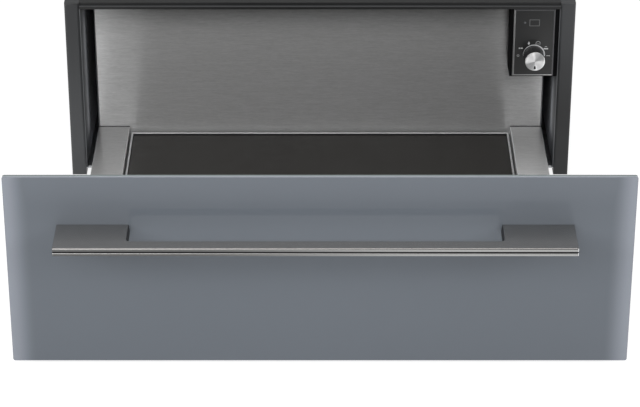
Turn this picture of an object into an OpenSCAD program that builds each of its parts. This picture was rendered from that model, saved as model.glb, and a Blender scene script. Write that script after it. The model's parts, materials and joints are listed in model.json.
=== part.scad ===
// Built-in warming drawer with a glass front, drawn with its drawer pulled out.
// Millimetres. +Z is up and -Y points to the user. The origin is the centre of the casing's
// footprint, on the surface that the casing stands on.

/* [Casing] */
// Outside width across the two front posts
casing_w = 552; // [540:1:590]
// Depth from the posts' front faces to the rear panel's back face
casing_d = 520; // [505:1:580]
// Height from the base to the upper face of the top cover
casing_h = 208; // [204:1:260]
// Sheet thickness of the outer casing
casing_sheet = 1.2; // [0.8:0.1:2]
// Height of the floor sheet's underside above the base
floor_lift = 8; // [6:0.5:12]
// Width of the bottom flanges that the side panels stand on
foot_flange = 20; // [12:1:30]
// Width of a front post
post_w = 16; // [12:0.5:24]
// Depth of the front posts and of the top rail
post_d = 24; // [18:1:40]
// Sheet thickness of the posts and the top rail
post_sheet = 1.5; // [1:0.1:2.5]
// Height of the top rail between the posts
top_rail_h = 7.3; // [6:0.1:20]
// Height of the top rail's forward lip
top_rail_lip_h = 3.3; // [2:0.1:5]
// How far the top rail's upper face lies behind its lip
top_rail_step = 3; // [1:0.5:8]
// Sheet thickness of the cavity's liners and rear baffle
liner_sheet = 1; // [0.6:0.1:2]
// Set-back of the liners' and floor's front edges behind the posts' faces
liner_setback = 1.5; // [0.5:0.1:6]
// Number of pressed ribs across the underside
rib_count = 3; // [3:2:5]
// Width of a rib's flat bottom
rib_w = 24; // [16:1:40]
// Width of each of a rib's top flanges
rib_flange = 10; // [6:1:16]
// Distance from the casing's front and back to the nearest rib's centre
rib_inset = 60; // [40:1:90]

/* [Front] */
// How far the glass overlaps the casing at each side
front_overlap = 22.5; // [10:0.5:30]
// Height of the glass's lower edge above the base
front_lift = 4; // [2:0.5:8]
// Height of the casing's top above the glass's upper edge
front_drop = 3; // [0:0.5:10]
// Thickness of the front glass
glass_t = 5; // [4:0.5:8]
// Corner radius of the front glass
glass_corner_r = 2.2; // [1:0.1:8]
// Thickness of the hollow steel carrier behind the glass
carrier_t = 18; // [17.5:0.5:30]
// How far the carrier stays inside the glass at each side
carrier_side_inset = 18.5; // [5:0.5:22]
// How far the carrier stays inside the glass at its lower edge
carrier_bottom_inset = 4; // [2:0.5:10]
// How far the carrier stays inside the glass at its upper edge
carrier_top_inset = 10; // [4:0.5:20]
// Gap between the closed front and the posts
front_gap = 2; // [1.5:0.1:5]
// Diameter of a rubber bumper
bumper_d = 8; // [5:0.5:12]
// Distance from a bumper's centre to the carrier's upper or lower edge
bumper_inset = 20; // [10:1:40]

/* [Handle] */
// Length of the handle
handle_w = 490; // [300:1:560]
// How far the handle's middle lies to the right of the glass's middle
handle_shift = -4.3; // [-8:0.1:8]
// How far the handle reaches in front of the glass
handle_reach = 48; // [35:1:70]
// Thickness of the handle plate
handle_t = 8; // [6:0.5:14]
// Height of the glass above the handle
handle_drop = 50.5; // [20:0.5:120]
// Length of the finger cut-out
notch_w = 354; // [200:1:360]
// Depth of the bar in front of the finger cut-out
bar_d = 15.3; // [10:0.1:25]
// Corner radius of the finger cut-out
notch_r = 3; // [1:0.5:8]
// Height of the groove between the two beads on the front edge
groove_h = 0.9; // [0.5:0.1:2]
// Depth of that groove
groove_d = 1.6; // [0.5:0.1:3]
// Chamfer of the beads and of the handle's ends
bead_chamfer = 0.9; // [0.3:0.1:1.5]
// Diameter of a handle screw
stud_d = 5; // [4:0.5:6]
// Distance between the two screws in each end of the handle
stud_pitch = 18; // [12:1:20]
// Distance from the finger cut-out's end to the nearest screw
stud_inset = 11; // [6:0.5:12]
// How deep the screws go into the handle
stud_bite = 12; // [8:1:20]

/* [Drawer] */
// How far the open drawer's rear wall stays behind the posts' faces
wall_inset = 38; // [37:1:60]
// Gap between each liner and the drawer's side
side_gap = 11; // [6:0.5:16]
// Sheet thickness of the drawer's pan, channels, rear wall and carrier
drawer_sheet = 0.8; // [0.6:0.1:1.2]
// Gap between the floor sheet and the drawer's pan
pan_gap = 4.8; // [3:0.1:8]
// Height of the side channels' tops above the floor sheet
channel_lift = 32.8; // [32:0.1:45]
// Width of a side channel's top
channel_w = 35; // [32:1:60]
// Height of a side channel's outer lip
channel_lip = 11; // [5:0.5:14]
// Seam between a side channel's rear end and the rear wall
channel_seam = 1.2; // [0.9:0.1:3]
// Distance from the rear wall's top to the top rail's underside
wall_top_gap = 8.7; // [4:0.1:30]
// Depth of the rear wall's folded edges
wall_return = 12; // [8:0.5:15]

/* [Heated plate] */
// Depth of the plate's surface below the side channels' tops
plate_drop = 7.5; // [5:0.5:10]
// Thickness of the heated glass plate
plate_t = 4; // [3:0.5:6]
// Width of the steel frame round the plate
trim_w = 2; // [1.5:0.1:5]
// How far that frame stands above the plate
trim_rise = 2; // [0.5:0.1:4]
// Gap between the frame and the side channels
trim_side_gap = 2; // [0.5:0.1:6]
// Gap between the frame and the drawer's front and rear
trim_end_gap = 4.4; // [2:0.1:12]
// Width of the rails that the plate lies on
support_w = 10; // [8:0.5:16]
// Thickness of the bonded heating foil
foil_t = 0.4; // [0.2:0.1:1]
// Distance from the heating foil's edge to the glass plate's edge
foil_inset = 14; // [12:1:40]
// Free height between the insulation and the heating foil
insulation_gap = 3.1; // [2:0.1:4]
// Diameter of the thermal cut-out
cutout_d = 16; // [10:1:24]
// Length of the heater's terminal block
block_w = 50; // [30:1:80]
// Depth of the heater's terminal block
block_d = 20; // [12:1:26]

/* [Slides] */
// Height of the slides' centre line above the floor sheet
slide_lift = 15.8; // [15:0.1:16.8]
// Height of the outer rail
outer_rail_h = 26.4; // [26:0.1:28]
// Sheet thickness of the rails
rail_sheet = 1.2; // [1:0.1:1.3]
// Thickness of the whole slide, from the outer rail's back to the inner rail's back
slide_t = 9.3; // [9:0.1:12]
// Ball diameter
ball_d = 2; // [1.6:0.1:2.2]
// Length of a ball cage
cage_len = 150; // [80:1:160]
// Number of balls in each row
ball_count = 6; // [4:1:10]
// Sheet thickness of a ball cage
cage_sheet = 0.5; // [0.3:0.1:0.6]
// Sheet thickness of the brackets that carry the slides
bracket_sheet = 1.5; // [1:0.1:2]
// Gap between a slide's bracket and the side channel's lip
bracket_gap = 1.4; // [0.8:0.1:3]
// Distance from the front cover to the rails' front ends
rail_front_gap = 4; // [3:0.5:12]
// Distance from the rails' rear ends to the rear wall
rail_rear_gap = 14; // [4:1:30]

/* [Control] */
// Width of the control unit's framed face
fascia_w = 44.7; // [40:0.1:60]
// Height of the control unit's framed face
fascia_h = 79; // [70:0.5:84]
// Distance from the framed face to the liner
fascia_side_gap = 4.5; // [2:0.1:10]
// Width of the bright frame round the face
fascia_trim_w = 1.7; // [1:0.1:3]
// Thickness of the face
fascia_t = 2; // [1.5:0.1:3]
// How far the bright frame stands in front of the face
fascia_trim_rise = 0.3; // [0.1:0.1:1]
// Set-back of the face behind the posts' faces
fascia_setback = 1; // [0.5:0.1:3]
// How far the control housing shows beside and under the face
housing_border = 2.8; // [2:0.1:8]
// Depth of the control housing
housing_d = 31; // [28:0.5:32]
// Wall thickness of the control housing
housing_wall = 1.5; // [1:0.1:2.5]
// Height of the knob's axis above the face's lower edge
knob_lift = 25.2; // [20:0.1:40]
// Distance of the knob's axis from the face's left edge
knob_offset = 22.9; // [20:0.1:26]
// Diameter of the knob
knob_d = 21.5; // [16:0.1:26]
// How far the knob stands in front of the face
knob_reach = 18.5; // [14:0.5:18.8]
// Thickness of the knob's metal cap
knob_cap_t = 1.5; // [1:0.1:3]
// Diameter of the knob's shaft
shaft_d = 6; // [4:0.5:8]
// Length of the pointer on the knob
pointer_len = 3.6; // [2:0.1:6]
// Width of the pointer
pointer_w = 1.6; // [0.8:0.1:2.4]
// Diameter of the indicator lens
lens_d = 2.4; // [1.5:0.1:4]
// Distance of the indicator lens from the face's left edge
lens_offset = 12; // [6:0.1:20]
// Distance of the indicator lens from the face's upper edge
lens_drop = 15.9; // [8:0.1:24]
// Size of the rotary switch's square body
switch_w = 18; // [14:1:24]

/* [Back] */
// Depth of the mains bay between the rear baffle and the rear panel
rear_bay_d = 82.8; // [70:0.1:100]
// Gap between the rear wall's folded edges and the baffle
baffle_gap = 6.2; // [4:0.1:10]
// Diameter of the rubber buffers at the drawer's rear stop
buffer_d = 12; // [8:1:20]
// Distance of a buffer from the casing's middle
buffer_x = 200; // [100:1:230]
// Height of the buffers above the floor sheet
buffer_lift = 90.8; // [60:1:150]
// Bore of the cable gland
gland_bore_d = 8; // [6:0.5:10]
// Distance of the cable gland from the casing's middle
gland_x = 150; // [120:1:200]
// Height of the cable gland above the floor sheet
gland_lift = 26; // [18:1:60]
// Width of the power module's circuit board
module_w = 110; // [80:1:150]
// Depth of the power module's circuit board
module_d = 50; // [40:1:54]
// Height of the transformer on the power module
module_h = 26; // [16:1:50]
// Width of the mains terminal box
box_w = 70; // [50:1:90]
// Depth of the mains terminal box
box_d = 36; // [28:1:50]
// Number of vent slots in the top cover and in the rear panel
vent_count = 10; // [4:1:14]
// Length of a vent slot
vent_len = 34; // [20:1:40]
// Width of a vent slot
vent_w = 3; // [2:0.5:4]

/* [Fixings] */
// Diameter of the side holes that fasten the casing to a cabinet
side_hole_d = 4.5; // [3:0.1:6]
// Height of the lower side hole above the base
side_hole_z = 60; // [30:1:90]
// Distance between the two side holes
side_hole_pitch = 100; // [60:1:110]
// Distance of the side holes behind the post
side_hole_back = 14; // [8:1:40]
// Diameter of the sheet screws
screw_d = 3; // [2.5:0.1:4]
// Head diameter of the sheet screws
screw_head_d = 6; // [5:0.1:7]
// Head height of the sheet screws
screw_head_h = 1.6; // [1:0.1:2.4]

/* [Hidden] */
$fn = 48;
// Free play of a fitted shaft, screw or pin, on the radius
fit_play = 0.05;
// Running gap between pieces that move past each other or rest just clear
run_gap = 0.3;
// Reach of a cutting body past the face that it cuts
over = 1;

// Casing
half_w = casing_w / 2;
half_d = casing_d / 2;
front_y = -half_d;
in_x = half_w - casing_sheet;
in_rear_y = half_d - casing_sheet;
post_back_y = front_y + post_d;
liner_out_x = half_w - post_w;
liner_in_x = liner_out_x - liner_sheet;
floor_z = floor_lift + casing_sheet;
cover_z = casing_h - casing_sheet;
rib_span = casing_d - 2 * rib_inset;
rib_pitch = rib_span / (rib_count - 1);
lip_y = front_y + liner_setback;
top_rail_z = casing_h - top_rail_h;

// Drawer front, closed
cover_y = front_y - front_gap;
glass_back_y = cover_y - carrier_t;
glass_face_y = glass_back_y - glass_t;
front_half_w = half_w + front_overlap;
front_top_z = casing_h - front_drop;
carrier_half_w = front_half_w - carrier_side_inset;
carrier_z0 = front_lift + carrier_bottom_inset;
carrier_z1 = front_top_z - carrier_top_inset;
handle_z1 = front_top_z - handle_drop;
handle_z0 = handle_z1 - handle_t;
bar_back_y = glass_face_y - handle_reach + bar_d;
stud_x = notch_w / 2 + stud_inset;
stud_z = (handle_z0 + handle_z1) / 2;
studs_x = [stud_x, stud_x + stud_pitch];

// Drawer body, closed
baffle_y = in_rear_y - rear_bay_d - liner_sheet;
wall_y = baffle_y - baffle_gap - wall_return - drawer_sheet;
drawer_depth = wall_y - cover_y;
travel = drawer_depth - front_gap - wall_inset;
drawer_x = liner_in_x - side_gap;
pan_z = floor_z + pan_gap;
pan_top_z = pan_z + drawer_sheet;
channel_z = floor_z + channel_lift;
channel_under_z = channel_z - drawer_sheet;
channel_in_x = drawer_x - channel_w;
wall_z1 = top_rail_z - wall_top_gap;
pan_front_y = cover_y + drawer_sheet;
pan_rear_y = wall_y - drawer_sheet;

// Heated plate
plate_top_z = channel_z - plate_drop;
plate_z = plate_top_z - plate_t;
trim_x = channel_in_x - trim_side_gap;
trim_y0 = cover_y + trim_end_gap;
trim_y1 = wall_y - trim_end_gap;
support_in_x = channel_in_x - support_w;
foil_z = plate_z - foil_t;
insulation_z1 = foil_z - insulation_gap;
insulation_side_gap = 1;
insulation_front_gap = 3;
// Terminal block: gaps in front of and behind it, rise above the insulation, and its screw holes
block_gap = 5;
block_rear_gap = 11;
block_rise = 1;
block_poles = 4;
block_hole_r = 2.2;
block_hole_depth = 6;
insulation_y1 = wall_y - block_rear_gap - block_d - block_gap;
plate_mid_y = (trim_y0 + trim_y1) / 2;
plate_play = trim_w + fit_play;
// Thermal cut-out: its place, and its tabs' width, length and thickness
cutout_x = 60;
tab_w = 4;
tab_len = 7;
tab_t = 0.8;
tab_y = cutout_d / 2 + 2;

// Slides. A slide's thickness is measured inwards from the bracket's inner face.
slide_x = drawer_x - drawer_sheet - bracket_gap - bracket_sheet;
slide_z = floor_z + slide_lift;
rail_len = drawer_depth - rail_front_gap - rail_rear_gap;
rail_y = cover_y + rail_front_gap;
pan_x = slide_x - slide_t;
web_gap = 1.2;
lip_gap = 0.8;
lip_step = 1;
outer_half = outer_rail_h / 2;
outer_inside = outer_half - rail_sheet;
ball_room = ball_d + 2 * fit_play;
middle_half = outer_inside - ball_room;
inner_half = middle_half - rail_sheet - ball_room;
middle_u = rail_sheet + web_gap;
inner_lip_u = middle_u + rail_sheet + web_gap;
middle_lip_u = slide_t - rail_sheet - lip_gap;
outer_lip_u = middle_lip_u - lip_step;
outer_ball_u = (middle_u + rail_sheet + outer_lip_u) / 2;
inner_ball_u = (inner_lip_u + middle_lip_u) / 2;
outer_ball_v = (outer_inside + middle_half) / 2;
inner_ball_v = (middle_half - rail_sheet + inner_half) / 2;
cage_gap = (web_gap - cage_sheet) / 2;
cage_y = rail_y + (rail_len - cage_len) / 2;
balls_y = [for (i = [0:ball_count - 1]) cage_y + (i + 0.5) * cage_len / ball_count];
middle_share = 0.5;
outer_cage_share = 0.25;
inner_cage_share = 0.75;

// Control unit
fascia_x1 = liner_in_x - fascia_side_gap;
fascia_x0 = fascia_x1 - fascia_w;
fascia_top_gap = 0.2;
fascia_z1 = top_rail_z - fascia_top_gap;
fascia_z0 = fascia_z1 - fascia_h;
fascia_y = front_y + fascia_setback;
housing_y = fascia_y + fascia_t;
housing_x0 = fascia_x0 - housing_border;
housing_z0 = fascia_z0 - housing_wall;
knob_x = fascia_x0 + knob_offset;
knob_z = fascia_z0 + knob_lift;
// Gap between the knob's skirt and the face
knob_gap = 0.9;
// How far the knob's cap and skirt stand out round its body
knob_step = 0.45;
// Height of the knob's skirt
skirt_t = 2.5;
knob_face_y = fascia_y - knob_reach;
knob_body_d = knob_d - 2 * knob_step;
// Circuit boards: thickness, distance behind the housing's front, and margin inside the housing
board_t = 1.6;
board_set = 13;
board_margin = 4;
board_y = housing_y + board_set;
board_low = [housing_x0 + housing_wall, board_y, housing_z0 + housing_wall + board_margin];
board_high = [liner_in_x - housing_wall, board_y + board_t, top_rail_z - housing_wall - board_margin];
// How much of the knob covers the shaft's front end, and the shaft's distance from the board
shaft_cover = 3;
shaft_clear = 3;
shaft_front_y = knob_face_y + knob_cap_t + shaft_cover;
shaft_rear_y = board_y - shaft_clear;
// Room round the knob in the front's pocket
pocket_room = 5;
pocket_half = knob_d / 2 + pocket_room;
lens_x = fascia_x0 + lens_offset;
lens_z = fascia_z1 - lens_drop;
lens_rise = 0.3;
pointer_inset = 2;
pointer_rise = 0.2;
pointer_z0 = knob_z - knob_d / 2 + pointer_inset;
pointer_z1 = pointer_z0 + pointer_len;
// Border of the housing that stays behind the edge of the face
window_border = 2;

// Back
gland_z = floor_z + gland_lift;
// Cable gland: wall, rims of its flange, dome and nut round the thread, and lengths
gland_wall = 4;
flange_rim = 3;
dome_rim = 0.5;
nut_rim = 3.5;
gland_thread_d = gland_bore_d + 2 * gland_wall;
gland_flange_t = 2.5;
gland_dome_len = 10.5;
gland_tail = 9;
nut_t = 4.5;
// Terminal box: wall, room above the cable's axis and behind the box, and play of its entry
box_wall = 2;
box_headroom = 14;
box_rear_gap = 14;
entry_play = 1;
// Power module: its place, its distance from the rear panel and its standoffs
module_x = 60;
board_clear = 5;
standoff_h = 6;
standoff_r = 3;
standoff_inset = 6;
fin_count = 5;
fin_t = 1.6;
// Vent slots: their pitch and the middles of their rows
vent_pitch = 3 * vent_w;
vent_x = half_w * 0.42;
rear_vent_z = casing_h * 0.62;
baffle_vent_x = half_w * 0.35;
baffle_vent_z = casing_h * 0.75;

// Where the casing's screws sit
cover_screw_x = (liner_out_x + in_x) / 2;
cover_screws_y = [for (share = [-0.38, 0, 0.38]) share * casing_d];
rear_screws_z = [casing_h * 0.2, casing_h * 0.8];
bracket_side_gap = 1;
bracket_foot_x = liner_in_x - bracket_side_gap;
bracket_screw_x = (slide_x + bracket_sheet + bracket_foot_x) / 2;
bracket_screws_y = [for (share = [0.06, 0.5, 0.94]) rail_y + share * rail_len];
// Where the drawer's screws sit
front_screws_x = [pan_x * 0.3, (channel_in_x + pan_x) / 2];
rear_screws_x = [pan_x * 0.25, pan_x * 0.72];
drawer_screw_lift = 3;
drawer_screw_z = (pan_top_z + plate_z) / 2 + drawer_screw_lift;
screw_r = screw_d / 2;
screw_head_r = screw_head_d / 2;
screw_hole_r = screw_r + fit_play;
// Length of a casing screw under its head, and how far a drawer screw reaches past its sheets
casing_screw_len = 8;
screw_reach = 5;
// Heads of the handle's screws
stud_head_r = stud_d * 0.9;
stud_head_h = stud_d * 0.6;
// Fixing angles behind the front: sheet, leg, and gaps to the pan, the channel's top and its wall
angle_sheet = 1.5;
angle_leg = 40;
angle_clear = 2;
angle_side_gap = 1;
// How far the rear wall's full width reaches below the side channels' tops
wall_notch_drop = 1.7;

// ---------- shared shapes ----------

// A box between two opposite corners
module block(low, high) {
    translate(low) cube(high - low);
}

// A drawing in X and Z, carried along Y from y0 to y1
module along_y(y0, y1) {
    translate([0, y1, 0]) rotate([90, 0, 0]) linear_extrude(y1 - y0) children();
}

// A drawing in Y and Z, carried along X from x0 to x1
module along_x(x0, x1) {
    translate([x0, 0, 0]) rotate([90, 0, 90]) linear_extrude(x1 - x0) children();
}

// A flat rectangle between two opposite corners
module flat(low, high) {
    translate(low) square(high - low);
}

// A flat rectangle with round corners
module round_flat(low, high, r) {
    flat([low[0] + r, low[1]], [high[0] - r, high[1]]);
    flat([low[0], low[1] + r], [high[0], high[1] - r]);
    for (x = [low[0] + r, high[0] - r])
        for (y = [low[1] + r, high[1] - r])
            translate([x, y]) circle(r);
}

// A round bar along Y from y0 to y1
module rod_y(x, z, r, y0, y1) {
    translate([x, y0, z]) rotate([-90, 0, 0]) cylinder(h = y1 - y0, r = r);
}

// A round bar along Z from z0 to z1
module rod_z(x, y, r, z0, z1) {
    translate([x, y, z0]) cylinder(h = z1 - z0, r = r);
}

// The same piece on both sides of the middle
module both_sides() {
    children();
    mirror([1, 0, 0]) children();
}

// Shifts a closed piece to where it lies with the drawer pulled out. share is its part of the travel.
module pulled_out(share = 1) {
    translate([0, -share * travel, 0]) children();
}

// ---------- casing ----------

module base_pan() {
    flange_y = post_back_y + casing_sheet;
    color("dimgray") difference() {
        union() {
            block([-liner_out_x, lip_y, floor_lift], [liner_out_x, in_rear_y, floor_z]);
            block([-in_x, flange_y, floor_lift], [in_x, in_rear_y, floor_z]);
            both_sides()
                block([in_x - casing_sheet, flange_y, casing_sheet], [in_x, in_rear_y, floor_z]);
        }
        both_sides()
            for (y = bracket_screws_y)
                rod_z(bracket_screw_x, y, screw_hole_r, floor_lift - over, floor_z + over);
    }
}

module base_ribs() {
    half_len = in_x - foot_flange;
    color("gray") for (i = [0:rib_count - 1])
        translate([0, -rib_span / 2 + i * rib_pitch, 0]) along_x(-half_len, half_len) {
            half = rib_w / 2;
            flat([-half, 0], [half, casing_sheet]);
            flat([-half, 0], [-half + casing_sheet, floor_lift]);
            flat([half - casing_sheet, 0], [half, floor_lift]);
            flat([-half - rib_flange, floor_lift - casing_sheet], [-half + casing_sheet, floor_lift]);
            flat([half - casing_sheet, floor_lift - casing_sheet], [half + rib_flange, floor_lift]);
        }
}

// The right side panel: a sheet with flanges at its bottom, top, front and rear
module side_panel() {
    top_flange_z = cover_z - casing_sheet;
    difference() {
        union() {
            block([in_x, post_back_y, 0], [half_w, half_d, cover_z]);
            block([in_x - foot_flange, post_back_y + casing_sheet, 0], [in_x, in_rear_y, casing_sheet]);
            block([liner_out_x, post_back_y, top_flange_z], [in_x, in_rear_y, cover_z]);
            block([liner_out_x, post_back_y, 0], [in_x, post_back_y + casing_sheet, cover_z]);
            block([liner_out_x, in_rear_y - casing_sheet, floor_z], [in_x, in_rear_y, cover_z]);
        }
        for (z = [side_hole_z, side_hole_z + side_hole_pitch])
            translate([in_x - over, post_back_y + side_hole_back, z])
                rotate([0, 90, 0]) cylinder(h = casing_sheet + 2 * over, d = side_hole_d);
        for (y = cover_screws_y)
            rod_z(cover_screw_x, y, screw_hole_r, top_flange_z - over, cover_z + over);
        for (z = rear_screws_z)
            rod_y(cover_screw_x, z, screw_hole_r, in_rear_y - casing_sheet - over, in_rear_y + over);
    }
}

module left_side_panel() {
    color("silver") mirror([1, 0, 0]) side_panel();
}

module right_side_panel() {
    color("silver") side_panel();
}

// A row of upright vent slots, drawn in X and Z about the origin
module vent_row() {
    for (i = [0:vent_count - 1])
        translate([(i - (vent_count - 1) / 2) * vent_pitch, 0])
            flat([-vent_w / 2, -vent_len / 2], [vent_w / 2, vent_len / 2]);
}

module rear_panel() {
    color("silver") difference() {
        block([-in_x, in_rear_y, 0], [in_x, half_d, cover_z]);
        rod_y(-gland_x, gland_z, gland_thread_d / 2 + fit_play, in_rear_y - over, half_d + over);
        along_y(in_rear_y - over, half_d + over)
            both_sides() translate([vent_x, rear_vent_z]) vent_row();
        both_sides()
            for (z = rear_screws_z)
                rod_y(cover_screw_x, z, screw_hole_r, in_rear_y - over, half_d + over);
    }
}

module top_cover() {
    color("silver") difference() {
        block([-half_w, post_back_y, cover_z], [half_w, half_d, casing_h]);
        translate([0, half_d - vent_len, cover_z - over])
            linear_extrude(casing_sheet + 2 * over)
                both_sides() translate([vent_x, 0]) vent_row();
        both_sides()
            for (y = cover_screws_y)
                rod_z(cover_screw_x, y, screw_head_r + fit_play, cover_z - over, casing_h + over);
    }
}

// The right post: a folded box, open to the rear, that stands on the base
module post() {
    difference() {
        block([liner_out_x, front_y, 0], [half_w, post_back_y, casing_h]);
        block([liner_out_x + post_sheet, front_y + post_sheet, post_sheet],
              [half_w - post_sheet, post_back_y + over, casing_h - post_sheet]);
    }
}

module left_post() {
    color("#43474a") mirror([1, 0, 0]) post();
}

module right_post() {
    color("#43474a") post();
}

module top_rail() {
    face_y = front_y + top_rail_step;
    lip_z = top_rail_z + top_rail_lip_h;
    color("#2a2d2f") along_x(-liner_out_x, liner_out_x) {
        flat([front_y, top_rail_z], [face_y + post_sheet, lip_z]);
        flat([face_y, top_rail_z], [face_y + post_sheet, casing_h]);
        flat([face_y, casing_h - post_sheet], [post_back_y, casing_h]);
        flat([face_y, top_rail_z], [post_back_y, top_rail_z + post_sheet]);
    }
}

// The right inner side wall, which stops under the top rail and reaches the top cover behind it
module cavity_liner() {
    block([liner_in_x, lip_y, floor_z], [liner_out_x, post_back_y, top_rail_z]);
    block([liner_in_x, post_back_y, floor_z], [liner_out_x, baffle_y + liner_sheet, cover_z]);
}

module left_liner() {
    color("#4b4e50") mirror([1, 0, 0]) cavity_liner();
}

module right_liner() {
    color("#4b4e50") cavity_liner();
}

module rear_baffle() {
    color("#8c8f91") difference() {
        block([-liner_in_x, baffle_y, floor_z], [liner_in_x, baffle_y + liner_sheet, cover_z]);
        along_y(baffle_y - over, baffle_y + liner_sheet + over)
            both_sides() translate([baffle_vent_x, baffle_vent_z]) vent_row();
    }
}

module slide_brackets() {
    upright_x = slide_x + bracket_sheet;
    color("gray") both_sides() difference() {
        union() {
            block([slide_x, rail_y, floor_z], [upright_x, rail_y + rail_len, slide_z + outer_half]);
            block([slide_x, rail_y, floor_z], [bracket_foot_x, rail_y + rail_len, floor_z + bracket_sheet]);
        }
        for (y = bracket_screws_y)
            rod_z(bracket_screw_x, y, screw_hole_r, floor_z - over, floor_z + bracket_sheet + over);
    }
}

module stop_buffers() {
    buffer_z = floor_z + buffer_lift;
    color("#1c1c1c") both_sides()
        rod_y(buffer_x, buffer_z, buffer_d / 2, wall_y + drawer_sheet + run_gap, baffle_y);
}

module casing_screws() {
    color("silver") both_sides() {
        for (y = cover_screws_y) {
            rod_z(cover_screw_x, y, screw_head_r, cover_z, casing_h);
            rod_z(cover_screw_x, y, screw_r, cover_z - casing_screw_len, cover_z);
        }
        for (z = rear_screws_z) {
            rod_y(cover_screw_x, z, screw_head_r, half_d, half_d + screw_head_h);
            rod_y(cover_screw_x, z, screw_r, half_d - casing_screw_len, half_d);
        }
        for (y = bracket_screws_y) {
            foot_z = floor_z + bracket_sheet;
            rod_z(bracket_screw_x, y, screw_head_r, foot_z, foot_z + screw_head_h);
            rod_z(bracket_screw_x, y, screw_r, floor_lift, foot_z);
        }
    }
}

// ---------- slides ----------

// A rail's section on the right side, in X and Z: a web from u0 and two lips that end at u1
module rail_section(u0, u1, half) {
    web_x = slide_x - u0;
    end_x = slide_x - u1;
    low_x = min(web_x, end_x);
    high_x = max(web_x, end_x);
    web_low_x = u0 < u1 ? web_x - rail_sheet : web_x;
    flat([web_low_x, slide_z - half], [web_low_x + rail_sheet, slide_z + half]);
    flat([low_x, slide_z + half - rail_sheet], [high_x, slide_z + half]);
    flat([low_x, slide_z - half], [high_x, slide_z - half + rail_sheet]);
}

module outer_rail() {
    along_y(rail_y, rail_y + rail_len) rail_section(0, outer_lip_u, outer_half);
}

module middle_rail() {
    pulled_out(middle_share)
        along_y(rail_y, rail_y + rail_len) rail_section(middle_u, middle_lip_u, middle_half);
}

module inner_rail() {
    pulled_out()
        along_y(rail_y, rail_y + rail_len) rail_section(slide_t, inner_lip_u, inner_half);
}

module left_outer_rail() {
    color("lightsteelblue") mirror([1, 0, 0]) outer_rail();
}

module right_outer_rail() {
    color("lightsteelblue") outer_rail();
}

module left_middle_rail() {
    color("lightsteelblue") mirror([1, 0, 0]) middle_rail();
}

module right_middle_rail() {
    color("lightsteelblue") middle_rail();
}

module left_inner_rail() {
    color("lightsteelblue") mirror([1, 0, 0]) inner_rail();
}

module right_inner_rail() {
    color("lightsteelblue") inner_rail();
}

// The right ball cage, closed: a folded strip with a row of balls above and below
module ball_cage(strip_u, end_u, ball_u, ball_v) {
    strip_x = slide_x - strip_u;
    end_x = slide_x - end_u;
    ball_x = slide_x - ball_u;
    half = cage_sheet / 2;
    difference() {
        along_y(cage_y, cage_y + cage_len) {
            flat([strip_x - cage_sheet, slide_z - ball_v - half], [strip_x, slide_z + ball_v + half]);
            flat([end_x, slide_z + ball_v - half], [strip_x, slide_z + ball_v + half]);
            flat([end_x, slide_z - ball_v - half], [strip_x, slide_z - ball_v + half]);
        }
        for (y = balls_y)
            for (z = [slide_z - ball_v, slide_z + ball_v])
                rod_z(ball_x, y, ball_d / 2 + fit_play, z - over, z + over);
    }
    for (y = balls_y)
        for (z = [slide_z - ball_v, slide_z + ball_v])
            translate([ball_x, y, z]) sphere(d = ball_d);
}

module outer_ball_cages() {
    color("goldenrod") pulled_out(outer_cage_share) both_sides()
        ball_cage(rail_sheet + cage_gap, outer_lip_u, outer_ball_u, outer_ball_v);
}

module inner_ball_cages() {
    color("goldenrod") pulled_out(inner_cage_share) both_sides()
        ball_cage(middle_u + rail_sheet + cage_gap, middle_lip_u, inner_ball_u, inner_ball_v);
}

// ---------- control unit ----------

module control_housing() {
    rear_y = housing_y + housing_d;
    window = fascia_trim_w + window_border;
    color("#151616") difference() {
        block([housing_x0, housing_y, housing_z0], [liner_in_x, rear_y, top_rail_z]);
        block([housing_x0 + housing_wall, housing_y + housing_wall, housing_z0 + housing_wall],
              [liner_in_x - housing_wall, rear_y - housing_wall, top_rail_z - housing_wall]);
        block([fascia_x0 + window, housing_y - over, fascia_z0 + window],
              [fascia_x1 - window, housing_y + housing_wall + over, fascia_z1 - window]);
    }
}

module control_fascia() {
    color("#262829") difference() {
        block([fascia_x0 + fascia_trim_w, fascia_y, fascia_z0 + fascia_trim_w],
              [fascia_x1 - fascia_trim_w, housing_y, fascia_z1 - fascia_trim_w]);
        rod_y(knob_x, knob_z, shaft_d / 2 + run_gap, fascia_y - over, housing_y + over);
        rod_y(lens_x, lens_z, lens_d / 2 + fit_play, fascia_y - over, housing_y + over);
    }
}

module fascia_trim() {
    color("#9a9c9c") difference() {
        block([fascia_x0, fascia_y - fascia_trim_rise, fascia_z0], [fascia_x1, housing_y, fascia_z1]);
        block([fascia_x0 + fascia_trim_w, fascia_y - over, fascia_z0 + fascia_trim_w],
              [fascia_x1 - fascia_trim_w, housing_y + over, fascia_z1 - fascia_trim_w]);
    }
}

module indicator_lens() {
    color("#5e6264") rod_y(lens_x, lens_z, lens_d / 2, fascia_y - lens_rise, board_y);
}

module control_board() {
    color("#1f5a35") block(board_low, board_high);
}

module rotary_switch() {
    half = switch_w / 2;
    color("#303234") difference() {
        block([knob_x - half, housing_y, knob_z - half], [knob_x + half, board_y, knob_z + half]);
        rod_y(knob_x, knob_z, shaft_d / 2 + fit_play, housing_y - over, shaft_rear_y + run_gap);
    }
}

module knob() {
    back_y = fascia_y - knob_gap;
    color("#1b1c1d") difference() {
        union() {
            rod_y(knob_x, knob_z, knob_body_d / 2, knob_face_y + knob_cap_t, back_y - skirt_t / 2);
            rod_y(knob_x, knob_z, knob_d / 2, back_y - skirt_t, back_y);
        }
        rod_y(knob_x, knob_z, shaft_d / 2 + fit_play, shaft_front_y, back_y + over);
    }
}

module knob_cap() {
    color("#c9cbcc") rod_y(knob_x, knob_z, knob_d / 2, knob_face_y, knob_face_y + knob_cap_t);
}

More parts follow.
